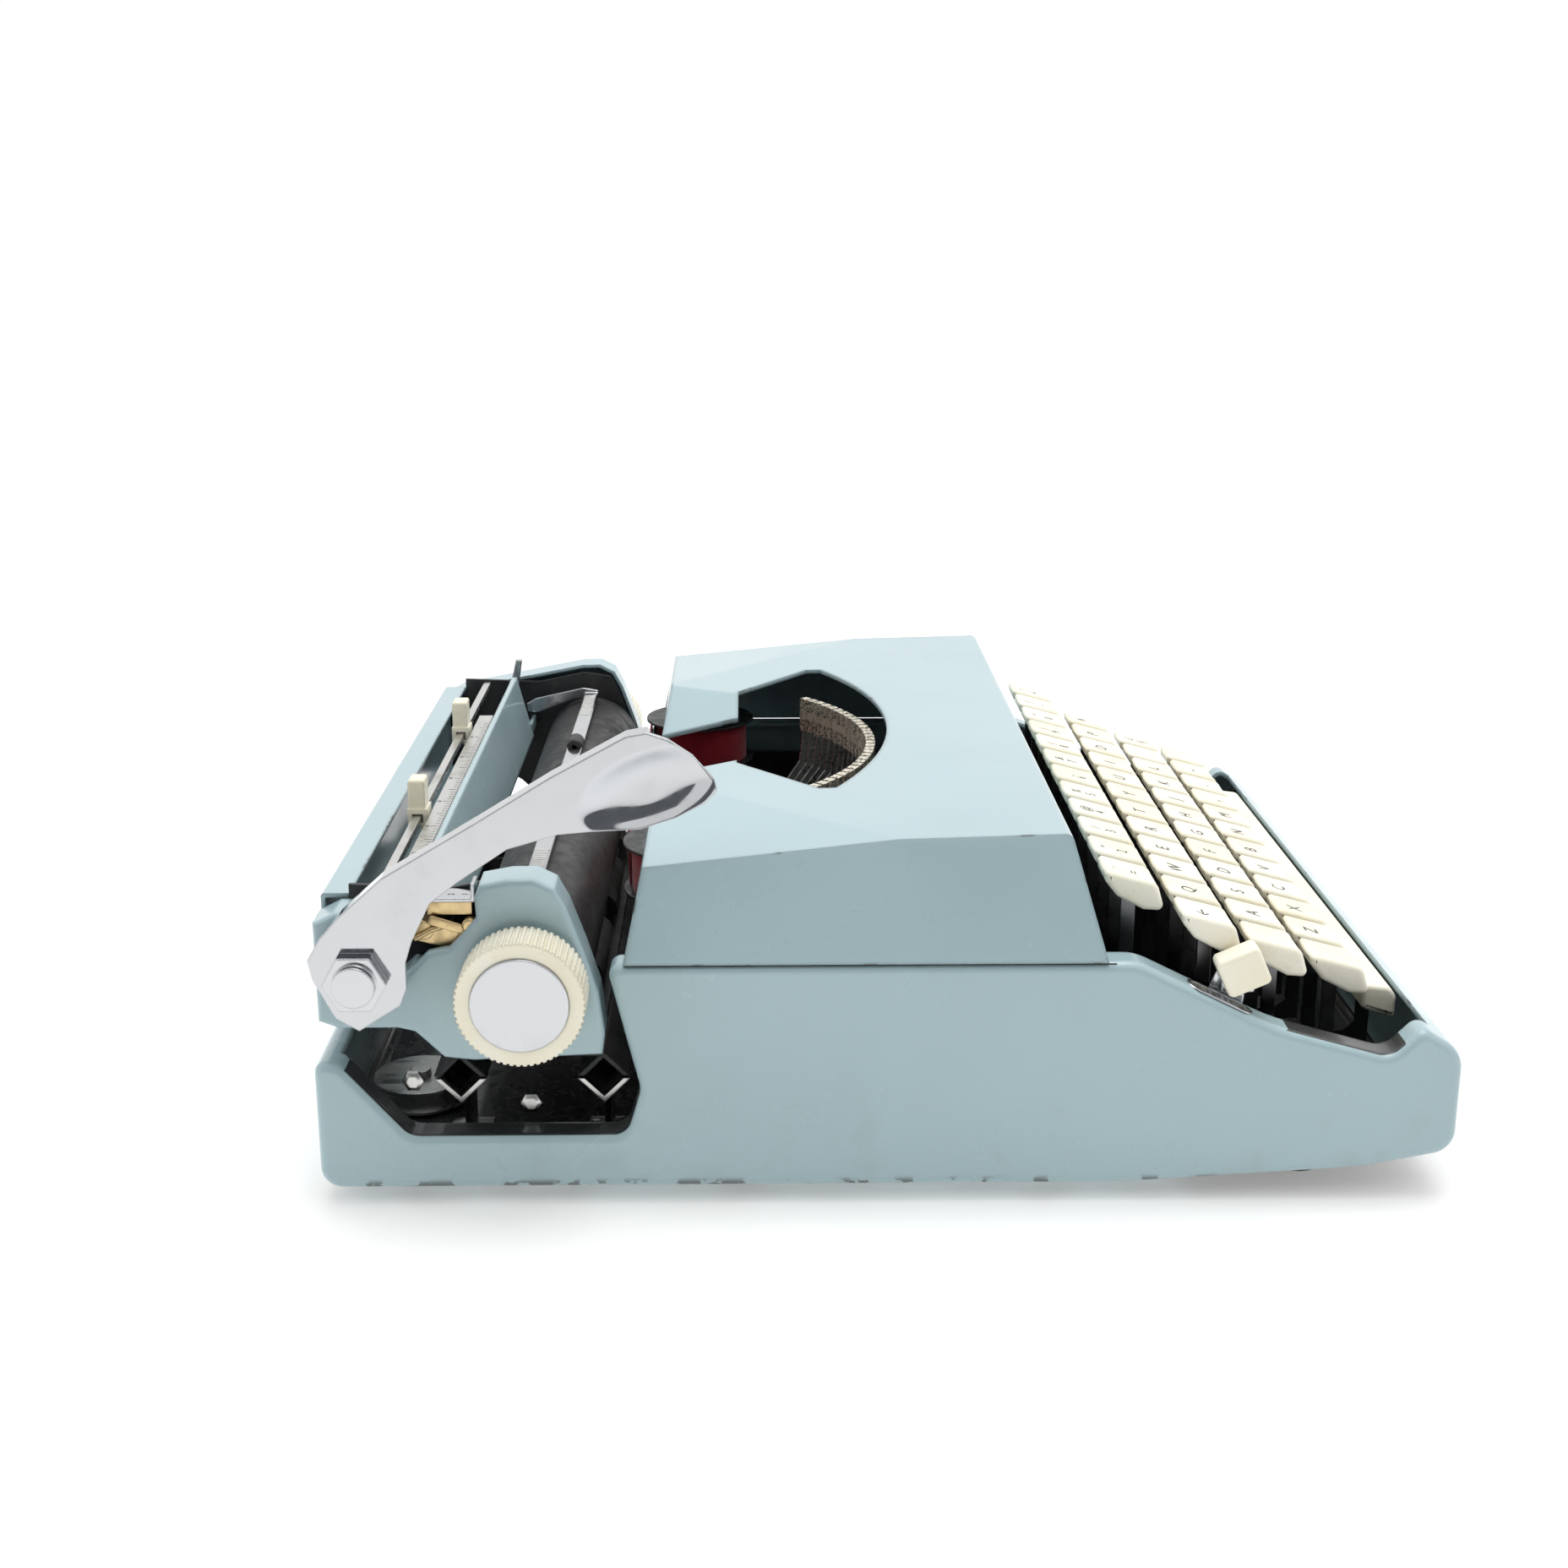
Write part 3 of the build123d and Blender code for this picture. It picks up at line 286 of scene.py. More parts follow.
def cloth(name, tone, second):
    """Woven ribbon: fine warp and weft with worn ink."""
    look = Look(name)
    round_spool = look.math("ADD", look.axis("X"), look.axis("Y"))
    across = look.math("SINE", look.math("MULTIPLY", round_spool, THREADS))
    along = look.math("SINE", look.math("MULTIPLY", look.axis("Z"), THREADS))
    weave = look.math("MULTIPLY", across, along)
    base = look.mix(look.ramp(weave, -1, 1), tone, second)
    base = look.mix(look.ramp(look.noise(90, 5), 0.45, 0.75, 0, 0.6), base, [c * 0.4 for c in tone])
    look.set(color=base, rough=0.85, sheen=0.3, spec=0.2)
    look.bump(weave, 0.4, 0.00015)
    return look.mat


def ink(name, tone):
    look = Look(name)
    wear = look.ramp(look.noise(500, 5), 0.5, 0.8, 0.0, 0.35)
    look.set(color=look.mix(wear, tone, [c + 0.18 for c in tone]),
             rough=look.ramp(look.noise(200, 3), 0.3, 0.7, 0.35, 0.6))
    look.bump(look.noise(1500, 3), 0.1, 0.00005)
    return look.mat


# ---- mesh helpers ----------------------------------------------------------
class Mesh:
    """Verts and faces gathered for one piece, in metres."""

    def __init__(self):
        self.verts, self.faces = [], []

    def add(self, verts, faces):
        at = len(self.verts)
        self.verts += [tuple(v) for v in verts]
        self.faces += [[i + at for i in f] for f in faces]
        return self

    def build(self, name, body, slot, mat, sharp=35, nodes=()):
        mesh = bpy.data.meshes.new(name)
        mesh.from_pydata(self.verts, [], self.faces)
        mesh.validate()
        bm = bmesh.new()
        bm.from_mesh(mesh)
        bmesh.ops.recalc_face_normals(bm, faces=bm.faces)
        for face in bm.faces:
            face.smooth = True
        for edge in bm.edges:
            if len(edge.link_faces) == 2:
                edge.smooth = edge.calc_face_angle(0) < math.radians(sharp)
        bm.to_mesh(mesh)
        bm.free()
        obj = bpy.data.objects.new(name, mesh)
        bpy.context.scene.collection.objects.link(obj)
        mesh.materials.append(mat)
        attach(obj, body)
        if nodes:
            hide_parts(*nodes)
        return obj


def rounded(points, radius, steps=4):
    """A polygon with its corners rounded; radius is one number or one for each corner."""
    made, count = [], len(points)
    for i, p in enumerate(points):
        r = radius[i] if isinstance(radius, (list, tuple)) else radius
        p, a, b = Vector(p), Vector(points[i - 1]), Vector(points[(i + 1) % count])
        u, v = (a - p), (b - p)
        lu, lv = u.length, v.length
        u.normalize()
        v.normalize()
        cosine = max(-1.0, min(1.0, u.dot(v)))
        half = math.acos(cosine) / 2
        if r <= 0 or half > math.radians(88.5) or half < 0.05:
            made.append(tuple(p))
            continue
        reach = min(r / math.tan(half), lu * 0.48, lv * 0.48)
        r = reach * math.tan(half)
        centre = p + (u + v).normalized() * (r / math.sin(half))
        start, end = p + u * reach - centre, p + v * reach - centre
        turn = start.angle_signed(end)
        for k in range(steps + 1):
            angle = -turn * k / steps
            c, s = math.cos(angle), math.sin(angle)
            made.append((centre.x + start.x * c - start.y * s, centre.y + start.x * s + start.y * c))
    return made


def inset(points, amount):
    """A closed polygon moved inwards along its corner normals."""
    if not amount:
        return list(points)
    area = sum(points[i - 1][0] * p[1] - p[0] * points[i - 1][1] for i, p in enumerate(points))
    sign = 1 if area > 0 else -1
    made = []
    for i, p in enumerate(points):
        a, b = points[i - 1], points[(i + 1) % len(points)]
        e1 = Vector((p[0] - a[0], p[1] - a[1])).normalized()
        e2 = Vector((b[0] - p[0], b[1] - p[1])).normalized()
        n = Vector((-e1.y - e2.y, e1.x + e2.x))
        if n.length < 1e-9:
            made.append(tuple(p))
            continue
        n.normalize()
        made.append((p[0] + sign * n.x * amount, p[1] + sign * n.y * amount))
    return made


def quarter_round(start, edge, steps):
    """Places along X and insets that round an end's edge, from the end face inwards."""
    angles = [math.pi / 2 * k / steps for k in range(steps + 1)]
    return [(start + edge * (1 - math.cos(a)), edge * (1 - math.sin(a))) for a in angles]


def slab(mesh, points, x0, x1, edge=0.5, steps=3):
    """A plate along X from an outline in (y, z), all in mm, with its end edges rounded."""
    low = quarter_round(x0, edge, steps)
    high = [(x1 - (x - x0), inset_by) for x, inset_by in reversed(low)]
    rings = low + high
    count = len(points)
    verts, faces = [], []
    for x, amount in rings:
        for y, z in inset(points, amount):
            verts.append((x * MM, y * MM, z * MM))
    for k in range(len(rings) - 1):
        for i in range(count):
            j = (i + 1) % count
            faces.append([k * count + i, k * count + j, (k + 1) * count + j, (k + 1) * count + i])
    faces.append(list(range(count))[::-1])
    faces.append([(len(rings) - 1) * count + i for i in range(count)])
    return mesh.add(verts, faces)


def turned(mesh, profile, centre, axis="X", segments=48):
    """A turned shape: profile is (along, radius) in mm about an axis through centre."""
    verts, faces = [], []
    n = len(profile)
    for k in range(segments):
        a = 2 * math.pi * k / segments
        for along, r in profile:
            c, s = r * math.cos(a), r * math.sin(a)
            p = (along, c, s) if axis == "X" else (c, s, along)
            verts.append([(p[i] + centre[i]) * MM for i in range(3)])
    for k in range(segments):
        m = (k + 1) % segments
        for i in range(n - 1):
            faces.append([k * n + i, k * n + i + 1, m * n + i + 1, m * n + i])
    return mesh.add(verts, faces)


def tube(mesh, path, radius, sides=10):
    """A round wire along points in mm."""
    pts = [Vector(p) for p in path]
    verts, faces = [], []
    normal = None
    for i, p in enumerate(pts):
        t = (pts[min(i + 1, len(pts) - 1)] - pts[max(i - 1, 0)]).normalized()
        if normal is None:
            normal = t.orthogonal().normalized()
        normal = (normal - t * normal.dot(t)).normalized()
        other = t.cross(normal)
        for k in range(sides):
            a = 2 * math.pi * k / sides
            verts.append((p + radius * (normal * math.cos(a) + other * math.sin(a))) * MM)
    for i in range(len(pts) - 1):
        for k in range(sides):
            m = (k + 1) % sides
            faces.append([i * sides + k, i * sides + m, (i + 1) * sides + m, (i + 1) * sides + k])
    faces.append(list(range(sides)))
    faces.append([(len(pts) - 1) * sides + k for k in range(sides)][::-1])
    return mesh.add(verts, faces)


def letters(mesh, words, size, place):
    """Words as a flat mesh; place turns (x, y) in mm about the words' middle into a point in mm."""
    curve = bpy.data.curves.new("words", "FONT")
    curve.body, curve.size = words, size * MM
    curve.align_x, curve.align_y = "CENTER", "CENTER"
    curve.resolution_u = 3
    obj = bpy.data.objects.new("words", curve)
    bpy.context.scene.collection.objects.link(obj)
    bpy.context.view_layer.update()
    flat = bpy.data.meshes.new_from_object(obj)
    verts = [[c * MM for c in place(v.co.x / MM, v.co.y / MM)] for v in flat.vertices]
    mesh.add(verts, [list(p.vertices) for p in flat.polygons])
    bpy.data.objects.remove(obj)
    bpy.data.meshes.remove(flat)


# ---- the looks -------------------------------------------------------------
add_camera()
BLUE = (0.37, 0.50, 0.535)
# the case's enamel carries painted shade over its inside
ENAMEL = enamel("enamel_case", BLUE, True, 0.0016)
ENAMEL_HOOD = enamel("enamel_cover", BLUE, False, 0.0028)
ENAMEL_CARRIAGE = enamel("enamel_carriage", BLUE, False, 0.0015)
CREAM = plastic("cream_plastic", (0.90, 0.87, 0.74))
CREAM_ROUND = plastic("cream_moulded", (0.90, 0.87, 0.74), 0.0008)
CHROME = metal("bright_chrome", (0.56, 0.57, 0.59), 0.06, 0.20, (1, 1, 1), (0.35, 0.33, 0.30), 0.22, 0.0008)
STEEL = metal("plain_steel", (0.62, 0.62, 0.60), 0.22, 0.44, (1, 0.1, 0.3), (0.24, 0.20, 0.14), 0.45)
LEVER_STEEL = metal("lever_steel", (0.16, 0.16, 0.165), 0.22, 0.4, (1, 0.1, 0.3), (0.03, 0.03, 0.03), 0.8,
                    0.0003)
BRASS = metal("aged_brass", (0.66, 0.50, 0.27), 0.25, 0.5, (1, 1, 1), (0.20, 0.14, 0.07), 0.7)
DARK = rubber("dark_frame", (0.022, 0.023, 0.025), 0.45, 0.25)
RUBBER = rubber("black_rubber", (0.020, 0.020, 0.021), 0.55, 0.35)
FEET = rubber("foot_rubber", (0.03, 0.03, 0.03), 0.7, 0.5)
RIBBON = cloth("ribbon_cloth", (0.40, 0.012, 0.03), (0.18, 0.006, 0.014))
SLUGS = slug_steel()
INK = ink("legend_ink", (0.03, 0.03, 0.03))
LOOKS = {"body_enamel": ENAMEL_CARRIAGE, "cream_plastic": CREAM_ROUND, "bright_chrome": CHROME,
         "plain_steel": STEEL, "dark_frame": DARK, "black_rubber": RUBBER,
         "aged_brass": BRASS, "ribbon_cloth": RIBBON}
OWN = {"lower_case": ENAMEL, "ribbon_cover": ENAMEL_HOOD, "typebars": SLUGS, "typebar_centre": SLUGS,
       "rubber_feet": FEET, "return_lever": dished_chrome()}
for r in range(1, 5):
    OWN[f"key_levers_row_{r}"] = LEVER_STEEL
for item in frame["record"]["subparts"]:
    node = NODES[item["node"]]
    node.data.materials.clear()
    node.data.materials.append(OWN.get(item["node"], LOOKS[item["material_slot"]]))


# ---- keytops ---------------------------------------------------------------
PITCH, KEY_W = 19.05, 15.6
SHIFT_STRETCH = 1.034  # the shift keys' tops are this much longer
ROW_STARTS = [-112.8, -122.325, -117.5625, -88.9875]  # the left side of each row's first key
ROW_Y, ROW_Z = -59.4, 89.4  # back edge of the number row's tops
ROW_BACK, ROW_DROP = 19.92, 8.93  # from one row to the next
SHAFT_Y, SHAFT_Z = 62, 46
LEGENDS = [
    ["'\n=", "\"\n2", "/\n3", "@\n4", "%\n5", "_\n6", "&\n7", "(\n8", ")\n9", "*\n0", "?\n-", "!\n+"],
    ["←", "Q", "W", "E", "R", "T", "Y", "U", "I", "O", "P", "^"],
    ["", "A", "S", "D", "F", "G", "H", "J", "K", "L", ":\n;", "£\n§"],
    ["Z", "X", "C", "V", "B", "N", "M", ",", ".", "-"],
]
TOP_FRONT = Vector((-14.6, -3.9))  # the front edge of a keytop, from its back edge
DISH = 0.75  # how deep the hollow top is, in mm


def key_origin(row):
    return ROW_Y - ROW_BACK * row, ROW_Z - ROW_DROP * row


def dish(u, v, width, length):
    """How deep the hollow top is at u across and v along it, from its middle."""
    a, b = 2 * u / (width - 1.8), 2 * v / (length - 1.2)
    return DISH * max(0.0, 1 - a * a) * (0.55 + 0.45 * max(0.0, 1 - b * b))


def keytop(mesh, x0, row, width=KEY_W, stretch=1.0):
    """One moulded keytop with a hollow top, soft edges and a lip down its front."""
    y0, z0 = key_origin(row)
    back, front = Vector((0, 0)), TOP_FRONT * stretch
    shape = [(0.0, 0.0), tuple(front), (front.x - 2.5, front.y - 8.2), (front.x + 3.6, front.y - 7.7),
             (-3.6, -7.6), (-0.3, -3.4)]
    outline = rounded(shape, [2.4, 3.2, 1.6, 1.6, 2.0, 1.4], 6)
    # more points along the top, for the hollow
    dense = []
    for i, p in enumerate(outline):
        q = outline[(i + 1) % len(outline)]
        dense.append(p)
        gap = math.dist(p, q)
        for k in range(1, int(gap / 1.3)):
            t = k / int(gap / 1.3)
            dense.append((p[0] + (q[0] - p[0]) * t, p[1] + (q[1] - p[1]) * t))
    along = (front - back).normalized()
    normal = Vector((along.y, -along.x))
    if normal.y < 0:
        normal = -normal
    length = (front - back).length
    edge = 1.5
    xs = quarter_round(-width / 2, edge, 6)
    flat = [(-width / 2 + edge + (width - 2 * edge) * k / 10, 0.0) for k in range(1, 10)]
    rings = xs + flat + [(-x, amount) for x, amount in reversed(xs)]
    verts, faces, count = [], [], len(dense)
    for x, amount in rings:
        for p in inset(dense, amount):
            rel = Vector(p) - (back + front) / 2
            height = rel.dot(normal)
            sink = dish(x, rel.dot(along), width, length) if height > -1.3 else 0.0
            q = Vector(p) - normal * sink
            verts.append(((x0 + width / 2 + x) * MM, (y0 + q.x) * MM, (z0 + q.y) * MM))
    for k in range(len(rings) - 1):
        for i in range(count):
            j = (i + 1) % count
            faces.append([k * count + i, k * count + j, (k + 1) * count + j, (k + 1) * count + i])
    faces.append(list(range(count))[::-1])
    faces.append([(len(rings) - 1) * count + i for i in range(count)])
    mesh.add(verts, faces)


def legend(mesh, words, x0, row, width=KEY_W):
    """A key's letters, laid on its hollow top and readable from the front."""
    y0, z0 = key_origin(row)
    middle = TOP_FRONT / 2
    along = TOP_FRONT.normalized()
    normal = Vector((along.y, -along.x))
    if normal.y < 0:
        normal = -normal
    size = 4.6 if "\n" in words else 6.0
    if words in (",", ".", "-", "^"):
        size = 8.0

    def place(u, v):
        sink = dish(u, -v, width, TOP_FRONT.length)
        q = middle - along * v + normal * (0.05 - sink)
        return x0 + width / 2 + u, y0 + q.x, z0 + q.y

    letters(mesh, words, size, place)


def bar_z(y):
    """The height of a key lever's bar at y."""
    return 10.5 + 0.086 * (SHAFT_Y - y)


def lever(mesh, x, row):
    """A key lever like the CAD one, for the keys whose cap and lever are one node."""
    y_back, z_back = key_origin(row)
    y_front, top = y_back - 10.0, z_back - 9.0
    outline = [(64.5, SHAFT_Z), (64.5, bar_z(SHAFT_Y) - 2.2), (y_front, bar_z(y_front) - 2.2), (y_front, top),
               (y_front + 4, top), (y_front + 4, bar_z(y_front) + 4.2),
               (y_front + 7, bar_z(y_front + 7) + 2.2),
               (59.5, bar_z(59.5) + 2.2), (59.5, SHAFT_Z)]
    slab(mesh, outline, x - 0.5, x + 0.5, 0.1, 1)
    turned(mesh, [(-0.5, 2.56), (-0.5, 4.7), (0.5, 4.7), (0.5, 2.56)], (x, SHAFT_Y, SHAFT_Z))


SINGLE = {(1, 0): ("backspace", "backspace_key"), (2, 0): ("shift_lock", "shift_lock_key"),
          (2, 6): ("centre_letter", "centre_key")}
for r, start in enumerate(ROW_STARTS):
    caps, marks = Mesh(), Mesh()
    for i, words in enumerate(LEGENDS[r]):
        x0 = start + i * PITCH
        if (r, i) in SINGLE:
            body, cad = SINGLE[(r, i)]
            one, arm, mark = Mesh(), Mesh(), Mesh()
            keytop(one, x0, r)
            one.build(f"{body}_keytop", body, "cream_plastic", CREAM, 40, [cad])
            lever(arm, x0 + KEY_W / 2, r)
            arm.build(f"{body}_arm", body, "plain_steel", LEVER_STEEL, 30)
            if words:
                legend(mark, words, x0, r)
                mark.build(f"{body}_legend", body, "cream_plastic", INK)
            continue
        keytop(caps, x0, r)
        legend(marks, words, x0, r)
    caps.build(f"keytops_{r + 1}", f"key_row_{r + 1}", "cream_plastic", CREAM, 40, [f"keytops_row_{r + 1}"])
    marks.build(f"legends_{r + 1}", f"key_row_{r + 1}", "cream_plastic", INK)
caps = Mesh()
for x in (ROW_STARTS[3] - PITCH, ROW_STARTS[3] + 10 * PITCH):
    keytop(caps, x, 3, KEY_W, SHIFT_STRETCH)
caps.build("shift_keytops", "shift", "cream_plastic", CREAM, 40, ["shift_keys"])


def space_bar():
    mesh = Mesh()
    y, top, deep = -137.3, 50.0, 10.0
    shape = [(y, top), (y - deep + 2, top - 1), (y - deep, top - 4), (y - deep, top - 10),
             (y - deep + 1.5, top - 10), (y - 1.5, top - 8), (y, top - 7)]
    slab(mesh, rounded(shape, [1.5, 3.0, 3.0, 0.6, 0.6, 1.5, 0.8], 6), -99, 99, 1.4, 6)
    mesh.build("space_bar_moulding", "space", "cream_plastic", CREAM, 40, ["space_bar"])


space_bar()


# ---- small pieces ----------------------------------------------------------
def touch_control():
    """The cream thumb piece, set askew on its bright arm."""
    arm, knob = Mesh(), Mesh()
    slab(arm, [(-93, 16), (-87, 16), (-86, 57), (-89, 64), (-95, 64), (-97, 57)], -123.6, -123.0, 0.1, 1)
    tube(arm, [(-123.6, -90, 22), (-118.2, -90, 22)], 2.0, 20)
    slab(arm, rounded([(-99, 59), (-90, 59), (-90, 62.5), (-99, 62.5)], 0.6), -126.5, -123.2, 0.2, 2)
    square, tilt = [(-6.2, -5.6), (6.2, -5.6), (6.2, 5.6), (-6.2, 5.6)], math.radians(-24)
    c, s_ = math.cos(tilt), math.sin(tilt)
    spun = [(-95.0 + y * c - z * s_, 66.2 + y * s_ + z * c) for y, z in square]
    slab(knob, rounded(spun, 1.6, 6), -131.2, -121.9 - 1.2, 1.3, 6)
    arm.build("touch_control_arm", "touch_control", "bright_chrome", CHROME, 30, ["touch_lever"])
    knob.build("touch_control_thumb_piece", "touch_control", "cream_plastic", CREAM, 40)


touch_control()


def rim_point(y):
    """The top of the case's side at y, from its corner points."""
    points = [(-136, 42), (-104, 51), (-66, 70)]
    for a, b in zip(points, points[1:]):
        if a[0] <= y <= b[0]:
            return a[1] + (b[1] - a[1]) * (y - a[0]) / (b[0] - a[0])
    return 42.0


def touch_label():
    """A framed scale on the case's edge beside the thumb piece, with generic end letters."""
    frame_piece, back, marks = Mesh(), Mesh(), Mesh()
    ends = ((-80.0, rim_point(-80.0)), (-98.0, rim_point(-98.0)))
    along = Vector((ends[1][0] - ends[0][0], ends[1][1] - ends[0][1])).normalized()
    up = Vector((along.y, -along.x)) if along.x < 0 else Vector((-along.y, along.x))
    if up.y < 0:
        up = -up
    length = math.dist(*ends)

    def at(u, v, lift):
        q = Vector(ends[0]) + along * (length / 2 + u) + up * lift
        return -128.5 + v, q.x, q.y

    def oval(half, wide, steps=10):
        pts = []
        for side in (1, -1):
            for k in range(steps + 1):
                a = math.pi / 2 - math.pi * k / steps
                pts.append((side * (half - wide) + side * wide * math.cos(a), side * wide * math.sin(a)))
        return pts

    outer, inner = oval(length / 2, 3.4), oval(length / 2 - 0.8, 2.6)
    n = len(outer)
    steps_up = ((outer, 0.02), (outer, 0.35), (inner, 0.35), (inner, 0.1))
    ring = [[c * MM for c in at(u, v, lift)] for pts, lift in steps_up for u, v in pts]
    faces = [[k * n + i, k * n + (i + 1) % n, (k + 1) * n + (i + 1) % n, (k + 1) * n + i]
             for k in range(3) for i in range(n)]
    frame_piece.add(ring, faces)
    back.add([[c * MM for c in at(u, v, 0.12)] for u, v in inner], [list(range(n))])
    for words, u in (("H", -length / 2 + 3.4), ("L", length / 2 - 3.4)):
        letters(marks, words, 3.2, lambda a, b, u=u: at(u - b, a, 0.16))
    for k in range(5):
        u = -length / 2 + 6.4 + k * (length - 12.8) / 4
        corner = [(u - 0.3, -1.2), (u + 0.3, -1.2), (u + 0.3, 1.2), (u - 0.3, 1.2)]
        marks.add([[c * MM for c in at(a, b, 0.16)] for a, b in corner], [[0, 1, 2, 3]])
    frame_piece.build("touch_label_frame", "root", "bright_chrome", CHROME, 30)
    back.build("touch_label_plate", "root", "plain_steel", STEEL, 30)
    marks.build("touch_label_marks", "root", "plain_steel", INK, 30)


touch_label()


def seam_line():
    """The thin black strip where the cover sits on the case: painted shadow standing in for the shade in the
    seam's gap.
    """
    strip = Mesh()
    for side in (-1, 1):
        outline = [(-60, 69.75), (71.5, 69.75), (71.5, 70.15), (-60, 70.15)]
        slab(strip, outline, side * 132.92 - 0.1, side * 132.92 + 0.1, 0.02, 1)
    # painted shadow: a black strip in place of the shade in the gap where the cover meets the case
    strip.build("cover_seam_strip", "root", "black_rubber", RUBBER, 30)


seam_line()


def coil(mesh, start, end, radius, wire, turns):
    """A spring from start to end, with a straight stretch at each end."""
    a, b = Vector(start), Vector(end)
    axis = (b - a).normalized()
    side = axis.orthogonal().normalized()
    other = axis.cross(side)
    steps = turns * 14
    path = [a, a + (b - a) * 0.08]
    for k in range(steps + 1):
        t = 0.1 + 0.8 * k / steps
        angle = 2 * math.pi * turns * k / steps
        path.append(a + (b - a) * t + radius * (side * math.cos(angle) + other * math.sin(angle)))
    tube(mesh, path + [b], wire, 6)


def springs():
    mesh = Mesh()
    coil(mesh, (-117.2, -118, 38), (-117.2, -108, 40), 2.0, 0.3, 11)
    for x in (-60.0, -20.0, 20.0, 60.0):
        coil(mesh, (x + 2.4, 69.4, 14), (x + 2.4, 69.4, 25), 1.2, 0.22, 12)
    mesh.build("return_springs", "root", "plain_steel", STEEL, 60)
    bracket = Mesh()
    outline = [(-127, 16), (-104, 24), (-104, 42), (-108, 42), (-121, 39), (-127, 36)]
    slab(bracket, outline, -117.9, -117.5, 0.1, 1)
    bracket.build("spring_bracket", "root", "dark_frame", DARK, 30)


springs()


RULE_Z = 88.24  # just above the top of the rule


def rule_marks():
    """Graduations and tens along the margin rule."""
    marks = Mesh()
    for k in range(68):
        x = -116 + k * 2.54
        if x > 64:
            break
        deep = 2.6 if k % 5 == 0 else 1.5
        line = [(x - 0.14, 129.5), (x + 0.14, 129.5), (x + 0.14, 129.5 + deep), (x - 0.14, 129.5 + deep)]
        marks.add([(a * MM, b * MM, RULE_Z * MM) for a, b in line], [[0, 1, 2, 3]])
        if k % 10 == 0:
            letters(marks, str(k), 1.7, lambda a, b, x=x: (x + a, 133.1 + b, RULE_Z))
    marks.build("margin_rule_marks", "carriage", "plain_steel", INK)
    mark = Mesh()
    for figure, y in (("1", 113.9), ("2", 117.6), ("3", 121.3)):
        letters(mark, figure, 2.6, lambda a, b, y=y: (-125.4 + a, y + b, 88.04))
    mark.build("line_spacing_figures", "spacing_selector", "bright_chrome", INK)


rule_marks()


def bail_grips():
    """Hatched strips and two rubber rollers on the paper bail."""
    hatch, tyres = Mesh(), Mesh()
    for x0 in (-108.0, 78.0):
        for k in range(24):
            x = x0 + k * 1.25
            slab(hatch, [(95.8, 85.15), (100.0, 85.15), (100.0, 85.4), (95.8, 85.4)], x, x + 0.6, 0.05, 1)
    tyre = [(-4.5, 1.0), (-4.5, 2.2), (-3.9, 2.7), (3.9, 2.7), (4.5, 2.2), (4.5, 1.0)]
    for x in (-38.0, 38.0):
        turned(tyres, tyre, (x, 97.9, 85.2), "X", 40)
    hatch.build("bail_hatching", "bail", "bright_chrome", STEEL, 30)
    tyres.build("bail_rollers", "bail", "black_rubber", RUBBER, 30)


bail_grips()


def wound_ribbon():
    """The ribbon's layers on each spool, just outside the CAD winding."""
    for name, side in (("left", -1), ("right", 1)):
        mesh = Mesh()
        layers = [(k * 13.3 / 12, 16.55 + 0.05 * (k % 2)) for k in range(13)]
        profile = [(0.0, 16.52)] + layers + [(13.3, 16.52)]
        turned(mesh, profile, (side * 72, 56, 71.85), "Z", 64)
        mesh.build(f"wound_ribbon_{name}", f"spool_{name}", "ribbon_cloth", RIBBON, 30)


wound_ribbon()


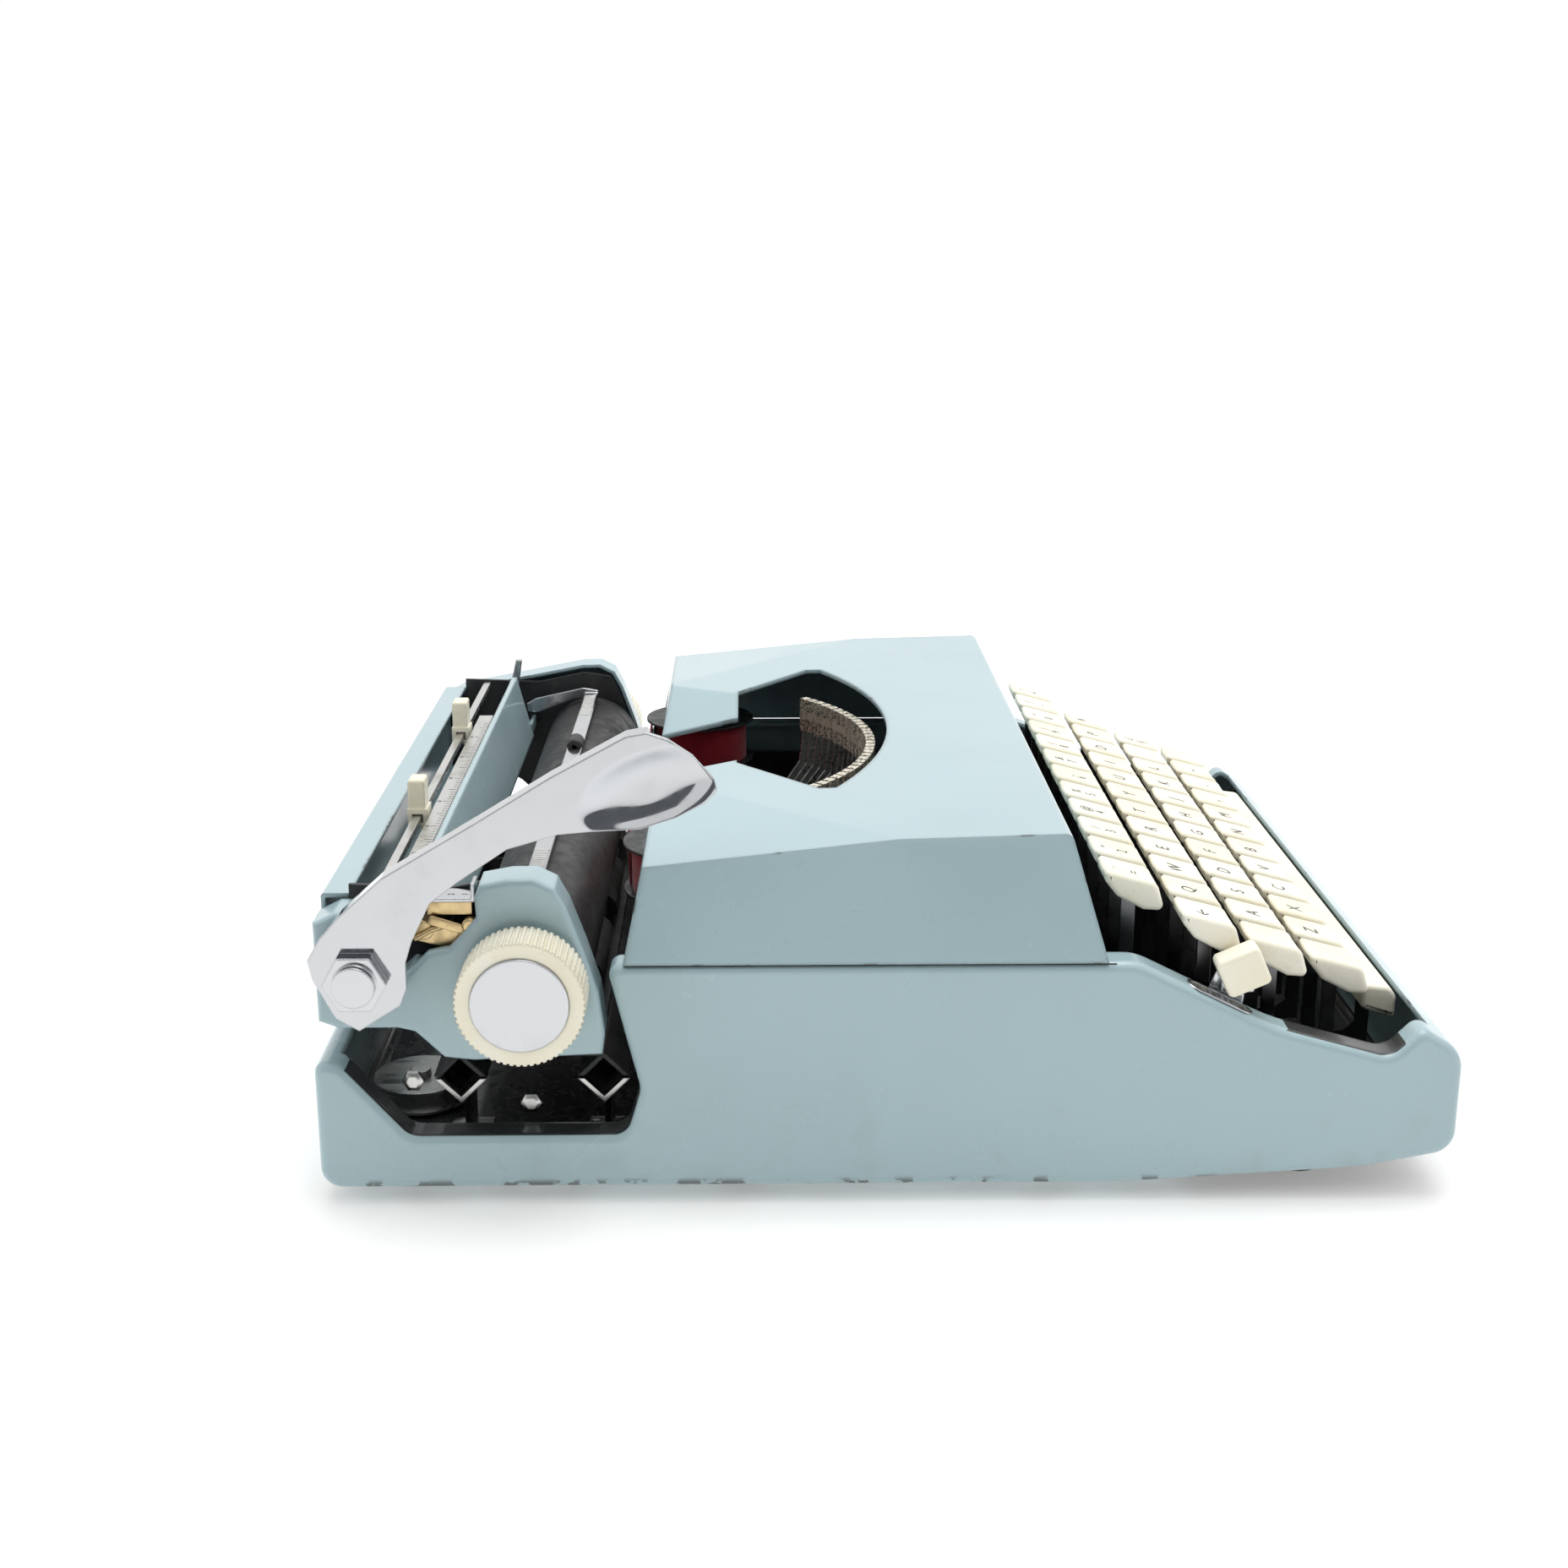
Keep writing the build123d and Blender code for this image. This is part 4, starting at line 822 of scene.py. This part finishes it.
def small_fixings():
    """Screw heads, bolts and the brass parts inside the left end cover."""
    screws, brass = Mesh(), Mesh()
    for x in (-100.0, 0.0, 100.0):
        for dy in (-4.2, 4.2):
            turned(screws, [(8.1, 0.0), (9.6, 0.6), (9.4, 1.5), (8.1, 1.8)], (x, 78.8 + dy, 0), "Z", 20)
    for y, z in ((131.3, 31.8), (98.9, 25.1), (60, 30)):
        turned(screws, [(-121.9, 0.0), (-121.9, 1.8), (-121.3, 3.0), (-120.0, 3.2)], (0, y, z), "X", 6)
    screws.build("frame_screws", "root", "plain_steel", STEEL, 30)
    turned(brass, [(-130.2, 0.0), (-130.2, 1.6), (-129.6, 2.2), (-127.6, 2.2)], (0, 112.5, 80.5), "X", 24)
    slab(brass, rounded([(109, 79), (123, 83.4), (124, 81.0), (110, 76.4)], 0.8), -129.4, -128.4, 0.2, 2)
    tube(brass, [(-128.6, 114, 78), (-128.6, 118, 80.5), (-128.6, 123, 79), (-128.6, 127.5, 76.5)], 0.7, 8)
    brass.build("line_space_brass", "carriage", "aged_brass", BRASS, 30)


small_fixings()


# ---- stage -----------------------------------------------------------------
floor_look = Look("backdrop")
tone = floor_look.mix(floor_look.ramp(floor_look.noise(3, 2), 0.3, 0.7), (0.84, 0.845, 0.84),
                      (0.82, 0.82, 0.81))
floor_look.set(color=tone, rough=0.9, spec=0.05)
floor_look.bsdf.inputs["Emission Color"].default_value = (1, 1, 0.99, 1)
floor_look.bsdf.inputs["Emission Strength"].default_value = 0.26
floor_mesh = bpy.data.meshes.new("floor")
floor_mesh.from_pydata([(-6, -6, 0), (6, -6, 0), (6, 6, 0), (-6, 6, 0)], [], [[0, 1, 2, 3]])
floor = bpy.data.objects.new("floor", floor_mesh)
floor_mesh.materials.append(floor_look.mat)
bpy.context.scene.collection.objects.link(floor)

world = bpy.data.worlds.new("world")
world.use_nodes = True
world.node_tree.nodes["Background"].inputs[0].default_value = (1, 1, 1, 1)
world.node_tree.nodes["Background"].inputs[1].default_value = 1.0
bpy.context.scene.world = world
# a dark card behind the camera, for the chrome to reflect
card_look = Look("grey_card")
card_look.set(color=card_look.mix(card_look.noise(2, 2), (0.10, 0.11, 0.12), (0.14, 0.15, 0.16)), rough=0.9)
card_mesh = bpy.data.meshes.new("grey_card")
card_corners = [(-1.9, -1.6, 0.02), (-1.9, 1.6, 0.02), (-1.7, 1.6, 1.5), (-1.7, -1.6, 1.5)]
card_mesh.from_pydata(card_corners, [], [[0, 1, 2, 3]])
card = bpy.data.objects.new("grey_card", card_mesh)
card_mesh.materials.append(card_look.mat)
bpy.context.scene.collection.objects.link(card)
add_light("key_light", (0.10, -0.1, 1.3), (0, 0, 0.05), (0.9, 0.9), 9)
scene = bpy.context.scene
scene.view_settings.view_transform = "Standard"
scene.view_settings.look = "None"
scene.view_settings.exposure = 0.0
